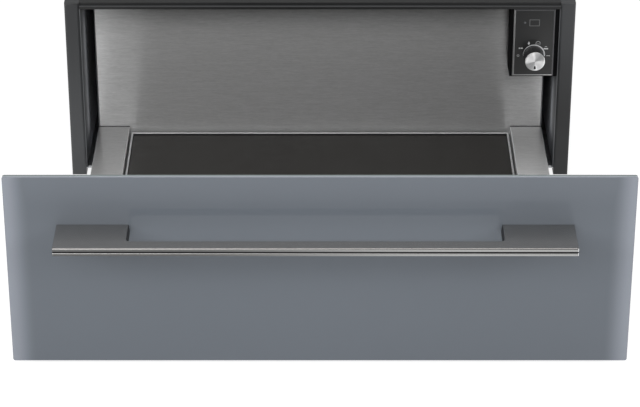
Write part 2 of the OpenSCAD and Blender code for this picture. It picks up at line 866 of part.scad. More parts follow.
module knob_shaft() {
    color("silver") rod_y(knob_x, knob_z, shaft_d / 2, shaft_front_y, shaft_rear_y);
}

module knob_pointer() {
    r = pointer_w / 2;
    color("#111212") along_y(knob_face_y - pointer_rise, knob_face_y) {
        flat([knob_x - r, pointer_z0 + r], [knob_x + r, pointer_z1 - r]);
        for (z = [pointer_z0 + r, pointer_z1 - r])
            translate([knob_x, z]) circle(r);
    }
}

// ---------- mains side ----------

module terminal_box() {
    rear_y = in_rear_y - box_rear_gap;
    low = [-gland_x - box_w / 2, rear_y - box_d, floor_z];
    high = [-gland_x + box_w / 2, rear_y, gland_z + box_headroom];
    wall = [box_wall, box_wall, box_wall];
    color("#d8d8d2") difference() {
        block(low, high);
        block(low + wall, high - wall);
        rod_y(-gland_x, gland_z, gland_bore_d / 2 + entry_play, rear_y - box_wall - over, rear_y + over);
    }
}

module cable_gland() {
    inner_y = in_rear_y - gland_tail;
    nut_y = in_rear_y - nut_t;
    flange_y = half_d + gland_flange_t;
    dome_y = flange_y + gland_dome_len;
    r = gland_thread_d / 2;
    color("#222324") {
        difference() {
            union() {
                rod_y(-gland_x, gland_z, r, inner_y, half_d);
                rod_y(-gland_x, gland_z, r + flange_rim, half_d, flange_y);
                rod_y(-gland_x, gland_z, r + dome_rim, flange_y, dome_y);
            }
            rod_y(-gland_x, gland_z, gland_bore_d / 2, inner_y - over, dome_y + over);
        }
        difference() {
            translate([-gland_x, nut_y, gland_z])
                rotate([-90, 0, 0]) cylinder(h = nut_t, r = r + nut_rim, $fn = 6);
            rod_y(-gland_x, gland_z, r + fit_play, nut_y - over, in_rear_y + over);
        }
    }
}

// A box on the power module's board, placed and sized by shares of the board and of the transformer
module on_board(x0, x1, y0, y1, h) {
    seat_z = floor_z + standoff_h + board_t / 2;
    block([module_w * x0, module_d * y0, seat_z], [module_w * x1, module_d * y1, seat_z + module_h * h]);
}

// A circuit board on standoffs, with a transformer, a relay, a capacitor and a finned heat sink
module power_module() {
    board_z = floor_z + standoff_h;
    seat_z = board_z + board_t / 2;
    color("#2d6b45") translate([module_x, in_rear_y - board_clear - module_d, 0]) {
        for (x = [standoff_inset, module_w - standoff_inset])
            for (y = [standoff_inset, module_d - standoff_inset])
                rod_z(x, y, standoff_r, floor_z, seat_z);
        block([0, 0, board_z], [module_w, module_d, board_z + board_t]);
        on_board(0.11, 0.42, 0.16, 0.76, 1);
        on_board(0.47, 0.58, 0.24, 0.72, 0.6);
        rod_z(module_w * 0.69, module_d * 0.32, module_w * 0.064, seat_z, seat_z + module_h * 0.85);
        on_board(0.8, 0.96, 0.2, 0.8, 0.12);
        for (i = [0:fin_count - 1])
            translate([i * (module_w * 0.16 - fin_t) / (fin_count - 1), 0, 0])
                on_board(0.8, 0.8 + fin_t / module_w, 0.2, 0.8, 0.8);
    }
}

// ---------- drawer front ----------

// Round bars along Y at the places of the handle's screws
module stud_bars(r, y0, y1) {
    translate([handle_shift, 0, 0]) both_sides()
        for (x = studs_x)
            rod_y(x, stud_z, r, y0, y1);
}

module front_glass() {
    color("#7c828c") pulled_out() difference() {
        along_y(glass_face_y, glass_back_y)
            round_flat([-front_half_w, front_lift], [front_half_w, front_top_z], glass_corner_r);
        stud_bars(stud_d / 2 + fit_play, glass_face_y - over, glass_back_y + over);
    }
}

module front_carrier() {
    rim_y = cover_y - drawer_sheet;
    color("#3a3d40") pulled_out() difference() {
        block([-carrier_half_w, glass_back_y, carrier_z0], [carrier_half_w, rim_y, carrier_z1]);
        block([-carrier_half_w + drawer_sheet, glass_back_y + drawer_sheet, carrier_z0 + drawer_sheet],
              [carrier_half_w - drawer_sheet, rim_y + over, carrier_z1 - drawer_sheet]);
        stud_bars(stud_d / 2 + fit_play, glass_back_y - over, glass_back_y + drawer_sheet + over);
    }
}

// The sheet that closes the carrier, with a pocket that the knob enters when the drawer is shut
module carrier_cover() {
    sheet_y = cover_y - drawer_sheet;
    pocket_y = glass_back_y + drawer_sheet;
    out = pocket_half + drawer_sheet;
    color("#4a4d50") pulled_out() difference() {
        union() {
            block([-carrier_half_w, sheet_y, carrier_z0], [carrier_half_w, cover_y, carrier_z1]);
            block([knob_x - out, pocket_y, knob_z - out], [knob_x + out, cover_y, knob_z + out]);
        }
        block([knob_x - pocket_half, pocket_y - over, knob_z - pocket_half],
              [knob_x + pocket_half, cover_y + over, knob_z + pocket_half]);
        both_sides()
            for (x = front_screws_x)
                rod_y(x, drawer_screw_z, screw_hole_r, sheet_y - over, cover_y + over);
    }
}

// The handle's plan, in X and Y: a plate with a finger cut-out along the glass
module handle_plan() {
    tip_y = glass_face_y - handle_reach;
    difference() {
        polygon([
            [-handle_w / 2 + bead_chamfer, tip_y], [handle_w / 2 - bead_chamfer, tip_y],
            [handle_w / 2, tip_y + bead_chamfer], [handle_w / 2, glass_face_y],
            [-handle_w / 2, glass_face_y], [-handle_w / 2, tip_y + bead_chamfer]
        ]);
        round_flat([-notch_w / 2, bar_back_y], [notch_w / 2, glass_face_y + 2 * notch_r], notch_r);
    }
}

// The handle's section, in Y and Z: two chamfered beads with a groove between them
module handle_section() {
    tip_y = glass_face_y - handle_reach;
    groove_z = (handle_z0 + handle_z1) / 2;
    upper_z = groove_z + groove_h / 2;
    lower_z = groove_z - groove_h / 2;
    polygon([
        [glass_face_y, handle_z0], [tip_y + bead_chamfer, handle_z0], [tip_y, handle_z0 + bead_chamfer],
        [tip_y, lower_z - bead_chamfer], [tip_y + bead_chamfer, lower_z], [tip_y + groove_d, lower_z],
        [tip_y + groove_d, upper_z], [tip_y + bead_chamfer, upper_z], [tip_y, upper_z + bead_chamfer],
        [tip_y, handle_z1 - bead_chamfer], [tip_y + bead_chamfer, handle_z1], [glass_face_y, handle_z1]
    ]);
}

module handle() {
    color("#8a8c8e") pulled_out() difference() {
        translate([handle_shift, 0, 0]) intersection() {
            translate([0, 0, handle_z0 - over]) linear_extrude(handle_t + 2 * over) handle_plan();
            along_x(-handle_w / 2, handle_w / 2) handle_section();
        }
        stud_bars(stud_d / 2 + fit_play, glass_face_y - stud_bite - run_gap, glass_face_y + over);
    }
}

module handle_studs() {
    seat_y = glass_back_y + drawer_sheet;
    color("silver") pulled_out() {
        stud_bars(stud_d / 2, glass_face_y - stud_bite, seat_y);
        stud_bars(stud_head_r, seat_y, seat_y + stud_head_h);
    }
}

module front_bumpers() {
    color("#222222") pulled_out() both_sides()
        for (z = [carrier_z0 + bumper_inset, carrier_z1 - bumper_inset])
            rod_y(half_w - post_w / 2, z, bumper_d / 2, cover_y, front_y - run_gap);
}

// ---------- drawer body ----------

// The drawer's pan: its rear edge ends below the plate, so that the rear wall is seen down to the plate
module drawer_pan() {
    inner_x = pan_x - drawer_sheet;
    color("#9b9d9f") pulled_out() difference() {
        block([-pan_x, cover_y, pan_z], [pan_x, wall_y, channel_under_z]);
        block([-inner_x, pan_front_y, pan_top_z], [inner_x, pan_rear_y, channel_z]);
        block([-inner_x, pan_rear_y - over, plate_z], [inner_x, wall_y + over, channel_z]);
        both_sides() {
            for (x = front_screws_x)
                rod_y(x, drawer_screw_z, screw_hole_r, cover_y - over, pan_front_y + over);
            for (x = rear_screws_x)
                rod_y(x, drawer_screw_z, screw_hole_r, pan_rear_y - over, wall_y + over);
        }
    }
}

// The right side channel: a strip with a lip outside and a wall inside
module side_channel() {
    rear_y = wall_y - channel_seam;
    pulled_out() along_y(pan_front_y, rear_y) {
        flat([channel_in_x, channel_under_z], [drawer_x, channel_z]);
        flat([drawer_x - drawer_sheet, channel_z - channel_lip], [drawer_x, channel_z]);
        flat([channel_in_x, pan_top_z], [channel_in_x + drawer_sheet, channel_z]);
    }
}

module left_side_channel() {
    color("#9fa1a3") mirror([1, 0, 0]) side_channel();
}

module right_side_channel() {
    color("#9fa1a3") side_channel();
}

// The rear wall: its lower corners are cut away so that it passes between the slides
module rear_wall() {
    notch_z = channel_under_z - wall_notch_drop;
    back_y = wall_y + drawer_sheet;
    fold_y = back_y + wall_return;
    color("#a7a9ab") pulled_out() difference() {
        union() {
            block([-drawer_x, wall_y, notch_z], [drawer_x, back_y, wall_z1]);
            block([-pan_x, wall_y, pan_z], [pan_x, back_y, wall_z1]);
            block([-drawer_x, wall_y, wall_z1 - drawer_sheet], [drawer_x, fold_y, wall_z1]);
            both_sides()
                block([drawer_x - drawer_sheet, wall_y, notch_z], [drawer_x, fold_y, wall_z1]);
        }
        both_sides()
            for (x = rear_screws_x)
                rod_y(x, drawer_screw_z, screw_hole_r, wall_y - over, back_y + over);
    }
}

module front_brackets() {
    low_z = pan_top_z + angle_clear;
    high_z = channel_under_z - angle_clear;
    wall_x = pan_x - drawer_sheet;
    leg_x = channel_in_x + drawer_sheet + angle_side_gap;
    leg_y = pan_front_y + angle_sheet;
    color("gray") pulled_out() both_sides() difference() {
        union() {
            block([wall_x - angle_sheet, pan_front_y, low_z], [wall_x, pan_front_y + angle_leg, high_z]);
            block([leg_x, pan_front_y, low_z], [wall_x, leg_y, high_z]);
        }
        rod_y(front_screws_x[1], drawer_screw_z, screw_hole_r, pan_front_y - over, leg_y + over);
    }
}

// A sheet screw along Y: its head's seat at seat_y, its shank towards tip_y
module screw_y(x, seat_y, tip_y) {
    towards = sign(tip_y - seat_y);
    head_y = seat_y - towards * screw_head_h;
    rod_y(x, drawer_screw_z, screw_r, min(seat_y, tip_y), max(seat_y, tip_y));
    rod_y(x, drawer_screw_z, screw_head_r, min(seat_y, head_y), max(seat_y, head_y));
}

module drawer_screws() {
    front_tip_y = cover_y - drawer_sheet - screw_reach;
    color("silver") pulled_out() both_sides() {
        screw_y(front_screws_x[0], pan_front_y, front_tip_y);
        screw_y(front_screws_x[1], pan_front_y + angle_sheet, front_tip_y);
        for (x = rear_screws_x)
            screw_y(x, wall_y + drawer_sheet, pan_rear_y - screw_reach);
    }
}

// ---------- heated plate ----------

module heated_glass_plate() {
    half_x = trim_x - plate_play;
    color("#2b2a29") pulled_out()
        block([-half_x, trim_y0 + plate_play, plate_z], [half_x, trim_y1 - plate_play, plate_top_z]);
}

module glass_trim_frame() {
    color("#c4c6c7") pulled_out() difference() {
        block([-trim_x, trim_y0, plate_z], [trim_x, trim_y1, plate_top_z + trim_rise]);
        block([-trim_x + trim_w, trim_y0 + trim_w, plate_z - over],
              [trim_x - trim_w, trim_y1 - trim_w, plate_top_z + trim_rise + over]);
    }
}

module heating_foil() {
    inset = trim_w + foil_inset;
    color("#b5651d") pulled_out()
        block([-trim_x + inset, trim_y0 + inset, foil_z], [trim_x - inset, trim_y1 - inset, plate_z]);
}

module insulation_board() {
    half_x = support_in_x - insulation_side_gap;
    front = pan_front_y + insulation_front_gap;
    color("#e6dfc8") pulled_out()
        block([-half_x, front, pan_top_z], [half_x, insulation_y1, insulation_z1]);
}

module plate_support_rails() {
    color("#8f9193") pulled_out() both_sides() along_y(pan_front_y, pan_rear_y) {
        flat([support_in_x, pan_top_z], [channel_in_x, pan_top_z + drawer_sheet]);
        flat([channel_in_x - drawer_sheet, pan_top_z], [channel_in_x, plate_z]);
        flat([support_in_x, plate_z - drawer_sheet], [channel_in_x, plate_z]);
    }
}

// A disc thermostat that lies on the insulation under the foil, with two tabs
module thermal_cutout() {
    color("#c9b27a") pulled_out() {
        rod_z(-cutout_x, plate_mid_y, cutout_d / 2, insulation_z1, foil_z);
        for (y = [plate_mid_y - tab_y, plate_mid_y + tab_y])
            block([-cutout_x - tab_w / 2, y - tab_len / 2, insulation_z1],
                  [-cutout_x + tab_w / 2, y + tab_len / 2, insulation_z1 + tab_t]);
    }
}

module heater_terminal_block() {
    y0 = insulation_y1 + block_gap;
    y1 = y0 + block_d;
    top_z = insulation_z1 + block_rise;
    pole_pitch = block_w / (block_poles + 1);
    color("#d9d6c4") pulled_out() difference() {
        block([-block_w / 2, y0, pan_top_z], [block_w / 2, y1, top_z]);
        for (i = [1:block_poles])
            rod_z(i * pole_pitch - block_w / 2, (y0 + y1) / 2, block_hole_r,
                  top_z - block_hole_depth, top_z + over);
    }
}

base_pan();
base_ribs();
left_side_panel();
right_side_panel();
rear_panel();
top_cover();
left_post();
right_post();
top_rail();
left_liner();
right_liner();
rear_baffle();
slide_brackets();
left_outer_rail();
right_outer_rail();
stop_buffers();
control_housing();
control_fascia();
fascia_trim();
indicator_lens();
control_board();
rotary_switch();
terminal_box();
cable_gland();
power_module();
casing_screws();
front_glass();
front_carrier();
carrier_cover();
handle();
handle_studs();
front_bumpers();
drawer_pan();
left_side_channel();
right_side_channel();
rear_wall();
heated_glass_plate();
glass_trim_frame();
heating_foil();
insulation_board();
plate_support_rails();
thermal_cutout();
heater_terminal_block();
front_brackets();
drawer_screws();
left_inner_rail();
right_inner_rail();
left_middle_rail();
right_middle_rail();
outer_ball_cages();
inner_ball_cages();
knob();
knob_cap();
knob_shaft();
knob_pointer();
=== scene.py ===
"""Looks of a built-in warming drawer, drawn pulled out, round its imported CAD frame.

Every length is in metres in the frame of the CAD model: +Z is up and -Y points to the user.
"""

import json
import logging
import math
from dataclasses import dataclass, field, replace
from enum import Enum
from functools import cache

import bmesh
import bpy
import numpy as np
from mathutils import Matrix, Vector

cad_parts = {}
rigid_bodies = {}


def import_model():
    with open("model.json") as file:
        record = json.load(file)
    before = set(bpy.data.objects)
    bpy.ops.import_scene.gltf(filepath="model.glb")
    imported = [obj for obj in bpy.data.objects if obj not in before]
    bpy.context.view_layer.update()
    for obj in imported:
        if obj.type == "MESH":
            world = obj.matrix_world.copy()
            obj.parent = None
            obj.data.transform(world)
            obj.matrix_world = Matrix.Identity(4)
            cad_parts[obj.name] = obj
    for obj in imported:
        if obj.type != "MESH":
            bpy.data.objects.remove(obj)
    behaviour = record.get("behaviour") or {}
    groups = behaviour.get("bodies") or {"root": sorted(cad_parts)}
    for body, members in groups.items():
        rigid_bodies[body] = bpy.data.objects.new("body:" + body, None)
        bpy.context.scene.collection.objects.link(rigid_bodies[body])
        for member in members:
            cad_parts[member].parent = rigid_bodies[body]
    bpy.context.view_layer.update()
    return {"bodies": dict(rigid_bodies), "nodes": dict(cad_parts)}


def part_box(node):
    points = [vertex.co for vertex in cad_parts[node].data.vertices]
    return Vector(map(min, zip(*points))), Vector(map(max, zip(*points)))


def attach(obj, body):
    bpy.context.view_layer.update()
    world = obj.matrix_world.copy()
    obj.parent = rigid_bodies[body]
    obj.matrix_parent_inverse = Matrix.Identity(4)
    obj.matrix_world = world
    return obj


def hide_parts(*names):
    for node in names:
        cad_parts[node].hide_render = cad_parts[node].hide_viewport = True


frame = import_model()

Array = np.ndarray
Mesh = bpy.types.Mesh
Piece = bpy.types.Object
Socket = bpy.types.NodeSocket

log = logging.getLogger("warming_drawer")
MM = 0.001
# How far inside an end face's edge a ring lies that keeps the face flat
HOLD = 0.08 * MM
# Share of its sheet by which a folded rim's end is eased
EASE = 0.15
# The part of a noise's range where most of its values lie
MIDDLE = (0.3, 0.7)


# ---------- shapes ----------


@dataclass
class Shell:
    """A closed surface: its points, and its faces as tuples of point numbers."""

    points: Array
    faces: list

    def __add__(self, other: "Shell") -> "Shell":
        """Both shells as one.

        Args:
            other: the other shell, whose point numbers are moved up.

        Returns:
            The shell.
        """
        count = len(self.points)
        moved = [tuple(i + count for i in face) for face in other.faces]
        return Shell(np.vstack([self.points, other.points]), list(self.faces) + moved)

    def mesh(self, name: str) -> Mesh:
        """The surface as a cleaned mesh.

        Args:
            name: the mesh's name.

        Returns:
            The mesh.
        """
        mesh = bpy.data.meshes.new(name)
        mesh.from_pydata(self.points.tolist(), [], self.faces)
        clean(mesh)
        return mesh


def loft(rings: Array, caps: bool = True, closed: bool = False) -> Shell:
    """Joins closed rings of points, one after the other.

    Point (i, j) makes a face with (i, j + 1), (i + 1, j + 1) and (i + 1, j).

    Args:
        rings: array (n, m, 3).
        caps: whether the first and the last ring are filled with a flat face.
        closed: whether the last ring joins the first, which leaves no caps.

    Returns:
        The surface.
    """
    n, m = rings.shape[:2]
    i, j = np.arange(n if closed else n - 1)[:, None], np.arange(m)[None, :]
    up, right = (i + 1) % n, (j + 1) % m
    corners = [i * m + j, i * m + right, up * m + right, up * m + j]
    faces = np.stack(np.broadcast_arrays(*corners), -1).reshape(-1, 4).tolist()
    if caps and not closed:
        faces += [list(range(m))[::-1], list(range((n - 1) * m, n * m))]
    return Shell(rings.reshape(-1, 3), faces)


class Axis(Enum):
    """The axis along which a drawing is carried. The drawing lies in the two others, in order."""

    X = (1, 2, 0)
    Y = (0, 2, 1)
    Z = (0, 1, 2)

    def carry(self, flat: Array, heights: Array, caps: bool = True, closed: bool = False) -> Shell:
        """Joins flat rings, each at its own height along the axis.

        Args:
            flat: array (n, m, 2) of rings.
            heights: array (n,).
            caps: as for loft.
            closed: as for loft.

        Returns:
            The surface.
        """
        points = np.empty(flat.shape[:2] + (3,))
        points[..., list(self.value[:2])] = flat
        points[..., self.value[2]] = heights[:, None]
        return loft(points, caps, closed)


def unit(vectors: Array) -> Array:
    """The vectors at length one."""
    return vectors / np.maximum(np.linalg.norm(vectors, axis=-1, keepdims=True), 1e-15)


def cross(a: Array, b: Array) -> Array:
    """The turn from one flat vector to another: ax * by - ay * bx."""
    return a[..., 0] * b[..., 1] - a[..., 1] * b[..., 0]


def right_of(way: Array) -> Array:
    """The flat vectors a quarter turn to the right of some others."""
    return np.stack([way[..., 1], -way[..., 0]], -1)


def sides(corners: Array) -> tuple[Array, Array]:
    """The directions of the sides that lead into and out of each corner of closed outlines."""
    into = unit(corners - np.roll(corners, 1, -2))
    return into, np.roll(into, -1, -2)


def circle(angles: Array) -> Array:
    """The points (cos t, sin t) of some angles t."""
    return np.stack([np.cos(angles), np.sin(angles)], -1)


def rounded(corners: Array, radii: Array, steps: int = 5) -> Array:
    """Rounds the corners of closed outlines.

    At each corner an arc touches both sides: it starts radius * tan(turn / 2) before the corner,
    and its arm from the centre turns by the outline's own turn.

    Args:
        corners: array (..., n, 2).
        radii: array (..., n).
        steps: parts of each arc.

    Returns:
        Array (..., n * (steps + 1), 2). The points of an arc without radius coincide.
    """
    into, out = sides(corners)
    turn = np.arctan2(cross(into, out), np.sum(into * out, -1))
    arm = np.sign(turn)[..., None] * right_of(into)
    reach = radii * np.tan(np.abs(turn) / 2)
    centre = corners - into * reach[..., None] - arm * radii[..., None]
    cos, sin = np.moveaxis(circle(turn[..., None] * np.linspace(0, 1, steps + 1)), -1, 0)
    x, y = arm[..., :1], arm[..., 1:]
    swept = np.stack([x * cos - y * sin, x * sin + y * cos], -1)
    points = centre[..., None, :] + radii[..., None, None] * swept
    return points.reshape(*points.shape[:-3], -1, 2)


@dataclass
class Outline:
    """A closed outline with rounded corners, kept anticlockwise."""

    corners: Array
    radii: Array | float = 0.0
    steps: int = 5

    def __post_init__(self) -> None:
        """Turns a clockwise outline round, with its radii."""
        self.corners = np.asarray(self.corners, float)
        self.radii = np.broadcast_to(np.asarray(self.radii, float), len(self.corners))
        if np.sum(cross(self.corners, np.roll(self.corners, -1, 0))) < 0:
            self.corners, self.radii = self.corners[::-1], self.radii[::-1]

    def rings(self, insets: Array) -> Array:
        """The outline drawn in by each of some distances.

        A corner moves along the sum of its sides' normals, divided by one plus their product.
        An outer corner's radius shrinks by the distance, down to none, and an inner one's grows.

        Args:
            insets: array (k,).

        Returns:
            Array (k, points, 2).
        """
        into, out = sides(self.corners)
        a, b = right_of(into), right_of(out)
        mitre = (a + b) / (1 + np.sum(a * b, 1))[:, None]
        insets = np.asarray(insets, float)[:, None]
        radii = np.maximum(self.radii - insets * np.sign(cross(into, out)), 0)
        return rounded(self.corners - mitre * insets[..., None], radii, self.steps)

    def ring(self) -> Array:
        """The outline itself."""
        return self.rings([0])[0]


def rectangle(low: Array, high: Array) -> list:
    """The four corners of a rectangle, anticlockwise. A third coordinate is left out."""
    return [(low[0], low[1]), (high[0], low[1]), (high[0], high[1]), (low[0], high[1])]


def upright(low: Array, high: Array) -> list:
    """The four corners of a box's rectangle in X and Z."""
    return rectangle(low[[0, 2]], high[[0, 2]])


def quarter(steps: int) -> tuple[Array, Array]:
    """Distances in and up along a quarter circle of radius one, from its flat end to its side."""
    cos, sin = circle(np.linspace(0, math.pi / 2, steps + 1)).T
    return 1 - sin, 1 - cos


def full_turn(steps: int) -> Array:
    """The angles of the points that part a full turn."""
    return np.linspace(0, 2 * math.pi, steps, endpoint=False)


def slab(
    outline: Outline, axis: Axis, low: float, high: float, edge: float, steps: int = 4
) -> Shell:
    """Carries an outline along an axis and rounds both rims with quarter circles.

    Args:
        outline: the outline.
        axis: the axis to carry it along.
        low: lower end.
        high: upper end.
        edge: radius of the rims.
        steps: parts of each quarter circle.

    Returns:
        The closed surface. A ring just inside each end keeps that face flat.
    """
    inset, rise = (edge * part for part in quarter(steps))
    insets = np.concatenate([[edge + HOLD], inset, inset[::-1], [edge + HOLD]])
    heights = np.concatenate([[low], low + rise, high - rise[::-1], [high]])
    return axis.carry(outline.rings(insets), heights)


def joined(shells: list) -> Shell:
    """Some shells as one mesh, in order."""
    return sum(shells[1:], shells[0])


@dataclass(frozen=True)
class Sheet:
    """A folded sheet: its thickness and the radius of its folds."""

    thickness: float
    bend: float

    def tray(self, outline: Outline, axis: Axis, face: float, back: float) -> Shell:
        """A face with the given outline, whose edges are all turned back.

        The section runs over the face, round a quarter circle of the bend plus the sheet, back
        along the rim, round its end, and over the inner side in the same way, one sheet in.

        Args:
            outline: outline of the face.
            axis: the axis along which the edges are turned.
            face: place of the face.
            back: place of the rim's end.

        Returns:
            The closed surface.
        """
        sheet, bend, outer = self.thickness, self.bend, self.bend + self.thickness
        away, deep = math.copysign(1, back - face), abs(back - face)
        inset, rise = quarter(5)
        insets = np.concatenate([
            [outer + HOLD], outer * inset, [0, sheet * EASE, sheet * (1 - EASE), sheet],
            sheet + bend * inset[::-1], [sheet + bend + HOLD],
        ])
        depths = np.concatenate([
            [0], outer * rise, [deep - sheet * EASE, deep, deep, deep - sheet * EASE],
            sheet + bend * rise[::-1], [sheet],
        ])
        return axis.carry(outline.rings(insets), face + away * depths)

    def section(self, path: list) -> Outline:
        """The outline of the sheet's section, with the path along its left-hand face.

        The other face is the path moved to its right by one sheet. The outer radius of a fold is
        the bend, and its inner radius is smaller by the sheet.

        Args:
            path: points along the face.

        Returns:
            The outline.
        """
        path = np.asarray(path, float)
        side = unit(np.diff(path, axis=0))
        right = right_of(side)
        a, b = np.vstack([right[:1], right]), np.vstack([right, right[-1:]])
        other = path + self.thickness * (a + b) / (1 + np.sum(a * b, 1))[:, None]
        turn = np.concatenate([[0], cross(side[:-1], side[1:]), [0]])
        near, far = (
            np.where(turn == 0, 0, self.bend - self.thickness * (turn * way > 0))
            for way in (1, -1)
        )
        return Outline(np.vstack([path, other[::-1]]), np.concatenate([near, far[::-1]]))


def rim(outline: Outline, section: Outline, axis: Axis) -> Shell:
    """Carries a closed section round an outline, mitred at its corners.

    Args:
        outline: the outer edge.
        section: the section: distance in from the outline, and height along the axis.
        axis: the axis that the heights are on.

    Returns:
        The closed surface, which is a ring.
    """
    inset, height = section.ring().T
    return axis.carry(outline.rings(inset), height, closed=True)


@dataclass
class Lathe:
    """Turns profiles round an axis along Y, with optional flutes."""

    centre: tuple
    around: int = 64
    flutes: int = 0
    depth: float = 0.0

    def turn(self, profile: Array, closed: bool = False) -> Shell:
        """Turns a profile.

        At angle t the radius is shortened by depth * |sin(flutes * t / 2)| ** 4.

        Args:
            profile: array (n, 2) of radius and height.
            closed: whether the profile is a closed outline, as of a ring.

        Returns:
            The surface. Points on the axis coincide, and are merged when the piece is made.
        """
        t = full_turn(self.around)[None, :]
        cut = self.depth * np.abs(np.sin(self.flutes * t / 2)) ** 4
        r = np.maximum(profile[:, :1] - np.where(profile[:, :1] > 0, cut, 0), 0)
        flat = np.array(self.centre) + r[..., None] * circle(t)
        return Axis.Y.carry(flat, profile[:, 1], caps=False, closed=closed)


# ---------- pieces ----------


def box(node: str) -> tuple[Array, Array]:
    """The lowest and the highest corner of a CAD node, as arrays."""
    low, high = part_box(node)
    return np.array(low), np.array(high)


def read(items: object, name: str, width: int, kind: type = np.float32) -> Array:
    """One property of all points, corners or faces of a mesh.

    Args:
        items: the mesh's collection.
        name: the property.
        width: how many numbers it has.
        kind: their type.

    Returns:
        Array (n, width), or (n,) where the width is one.
    """
    values = np.empty(len(items) * width, kind)
    items.foreach_get(name, values)
    return values.reshape(-1, width) if width > 1 else values


def places(mesh: Mesh) -> tuple[Array, Array]:
    """The middles and the outward directions of a mesh's faces."""
    return read(mesh.polygons, "center", 3), read(mesh.polygons, "normal", 3)


def face_corners(mesh: Mesh) -> tuple[Array, Array]:
    """The point at each corner of each face, and the number of each face's corners."""
    points = read(mesh.vertices, "co", 3)[read(mesh.loops, "vertex_index", 1, np.int32)]
    return points, read(mesh.polygons, "loop_total", 1, np.int32)


def lay_uv(mesh: Mesh) -> None:
    """Gives a mesh a UV map in metres, seen along each face's main direction.

    Args:
        mesh: the mesh. A face that looks along X takes (y, z), along Y (x, z) and along Z (x, y).
    """
    points, totals = face_corners(mesh)
    main = np.repeat(np.abs(places(mesh)[1]).argmax(1), totals)
    u = np.where(main == 0, points[:, 1], points[:, 0])
    v = np.where(main == 2, points[:, 1], points[:, 2])
    layer = mesh.uv_layers.new(name="UVMap")
    layer.data.foreach_set("uv", np.stack([u, v], 1).astype(np.float32).ravel())


def clean(mesh: Mesh, flatten: bool = False) -> None:
    """Merges doubled points and turns all faces outwards.

    Args:
        mesh: the mesh, changed in place.
        flatten: whether flat groups of faces are joined.
    """
    work = bmesh.new()
    work.from_mesh(mesh)
    bmesh.ops.remove_doubles(work, verts=work.verts, dist=2e-7)
    bmesh.ops.dissolve_degenerate(work, edges=work.edges, dist=1e-7)
    if flatten:
        flat = math.radians(0.3)
        bmesh.ops.dissolve_limit(work, angle_limit=flat, verts=work.verts, edges=work.edges)
    bmesh.ops.recalc_face_normals(work, faces=work.faces)
    work.to_mesh(mesh)
    work.free()


@dataclass
class Workshop:
    """Makes the pieces, and keeps count of them."""

    made: int = 0
    smooth_below: float = math.radians(32)
    round_above: float = math.radians(40)

    def add(
        self, name: str, shape: Shell | Mesh, finish: "Finish", body: str, *replaces: str,
        weighted: bool = True,
    ) -> Piece:
        """Makes a piece, sets it on its body and reports it.

        Args:
            name: the piece's name.
            shape: its surface or its mesh.
            finish: its finish.
            body: the CAD body that it rides on.
            replaces: the CAD nodes that it stands for.
            weighted: whether large faces keep their own normals.

        Returns:
            The piece.
        """
        mesh = shape.mesh(name) if isinstance(shape, Shell) else shape
        lay_uv(mesh)
        mesh.materials.append(finish.make())
        mesh.shade_smooth()
        mesh.set_sharp_from_angle(angle=self.smooth_below)
        piece = bpy.data.objects.new(name, mesh)
        bpy.context.scene.collection.objects.link(piece)
        if weighted:
            piece.modifiers.new("Even normals", "WEIGHTED_NORMAL").keep_sharp = True
        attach(piece, body)
        if replaces:
            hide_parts(*replaces)
        self.made += 1
        log.info("%s: %d faces on %s", name, len(mesh.polygons), body)
        return piece

    def soften(self, body: str, finish: "Finish", width: float, *nodes: str) -> None:
        """Stands in for CAD nodes with copies of their meshes whose edges are rounded.

        Args:
            body: their CAD body.
            finish: their finish.
            width: how far the rounding reaches from each edge.
            nodes: the CAD nodes.
        """
        for node in nodes:
            mesh = frame["nodes"][node].data.copy()
            mesh.materials.clear()
            clean(mesh, flatten=True)
            piece = self.add(node + "_finished", mesh, finish, body, node, weighted=False)
            bevel = piece.modifiers.new("Rounded edges", "BEVEL")
            bevel.width = width
            bevel.segments = 2
            bevel.limit_method = "ANGLE"
            bevel.angle_limit = self.round_above
            bevel.use_clamp_overlap = False
            bevel.harden_normals = True

    def dress(self, finish: "Finish", *nodes: str) -> None:
        """Gives CAD nodes that stay a finish.

        Args:
            finish: the finish.
            nodes: the CAD nodes.
        """
        for node in nodes:
            materials = frame["nodes"][node].data.materials
            materials.clear()
            materials.append(finish.make())
            log.info("%s: CAD node in %s", node, finish.name)

    def part(self, piece: Piece, index: Array, *finishes: "Finish") -> None:
        """Gives some faces of a piece other finishes than its own.

        Args:
            piece: the piece.
            index: for each face 0 for the piece's own finish, 1 for the first other, and so on.
            finishes: the other finishes.
        """
        for finish in finishes:
            piece.data.materials.append(finish.make())
        piece.data.polygons.foreach_set("material_index", index.astype(np.int32))


# ---------- finishes ----------


class Grain(Enum):
    """How a pattern is stretched: noise scales in X, Y and Z."""

    ALONG_X = (0.1, 1.0, 1.0)
    NONE = (1.0, 1.0, 1.0)


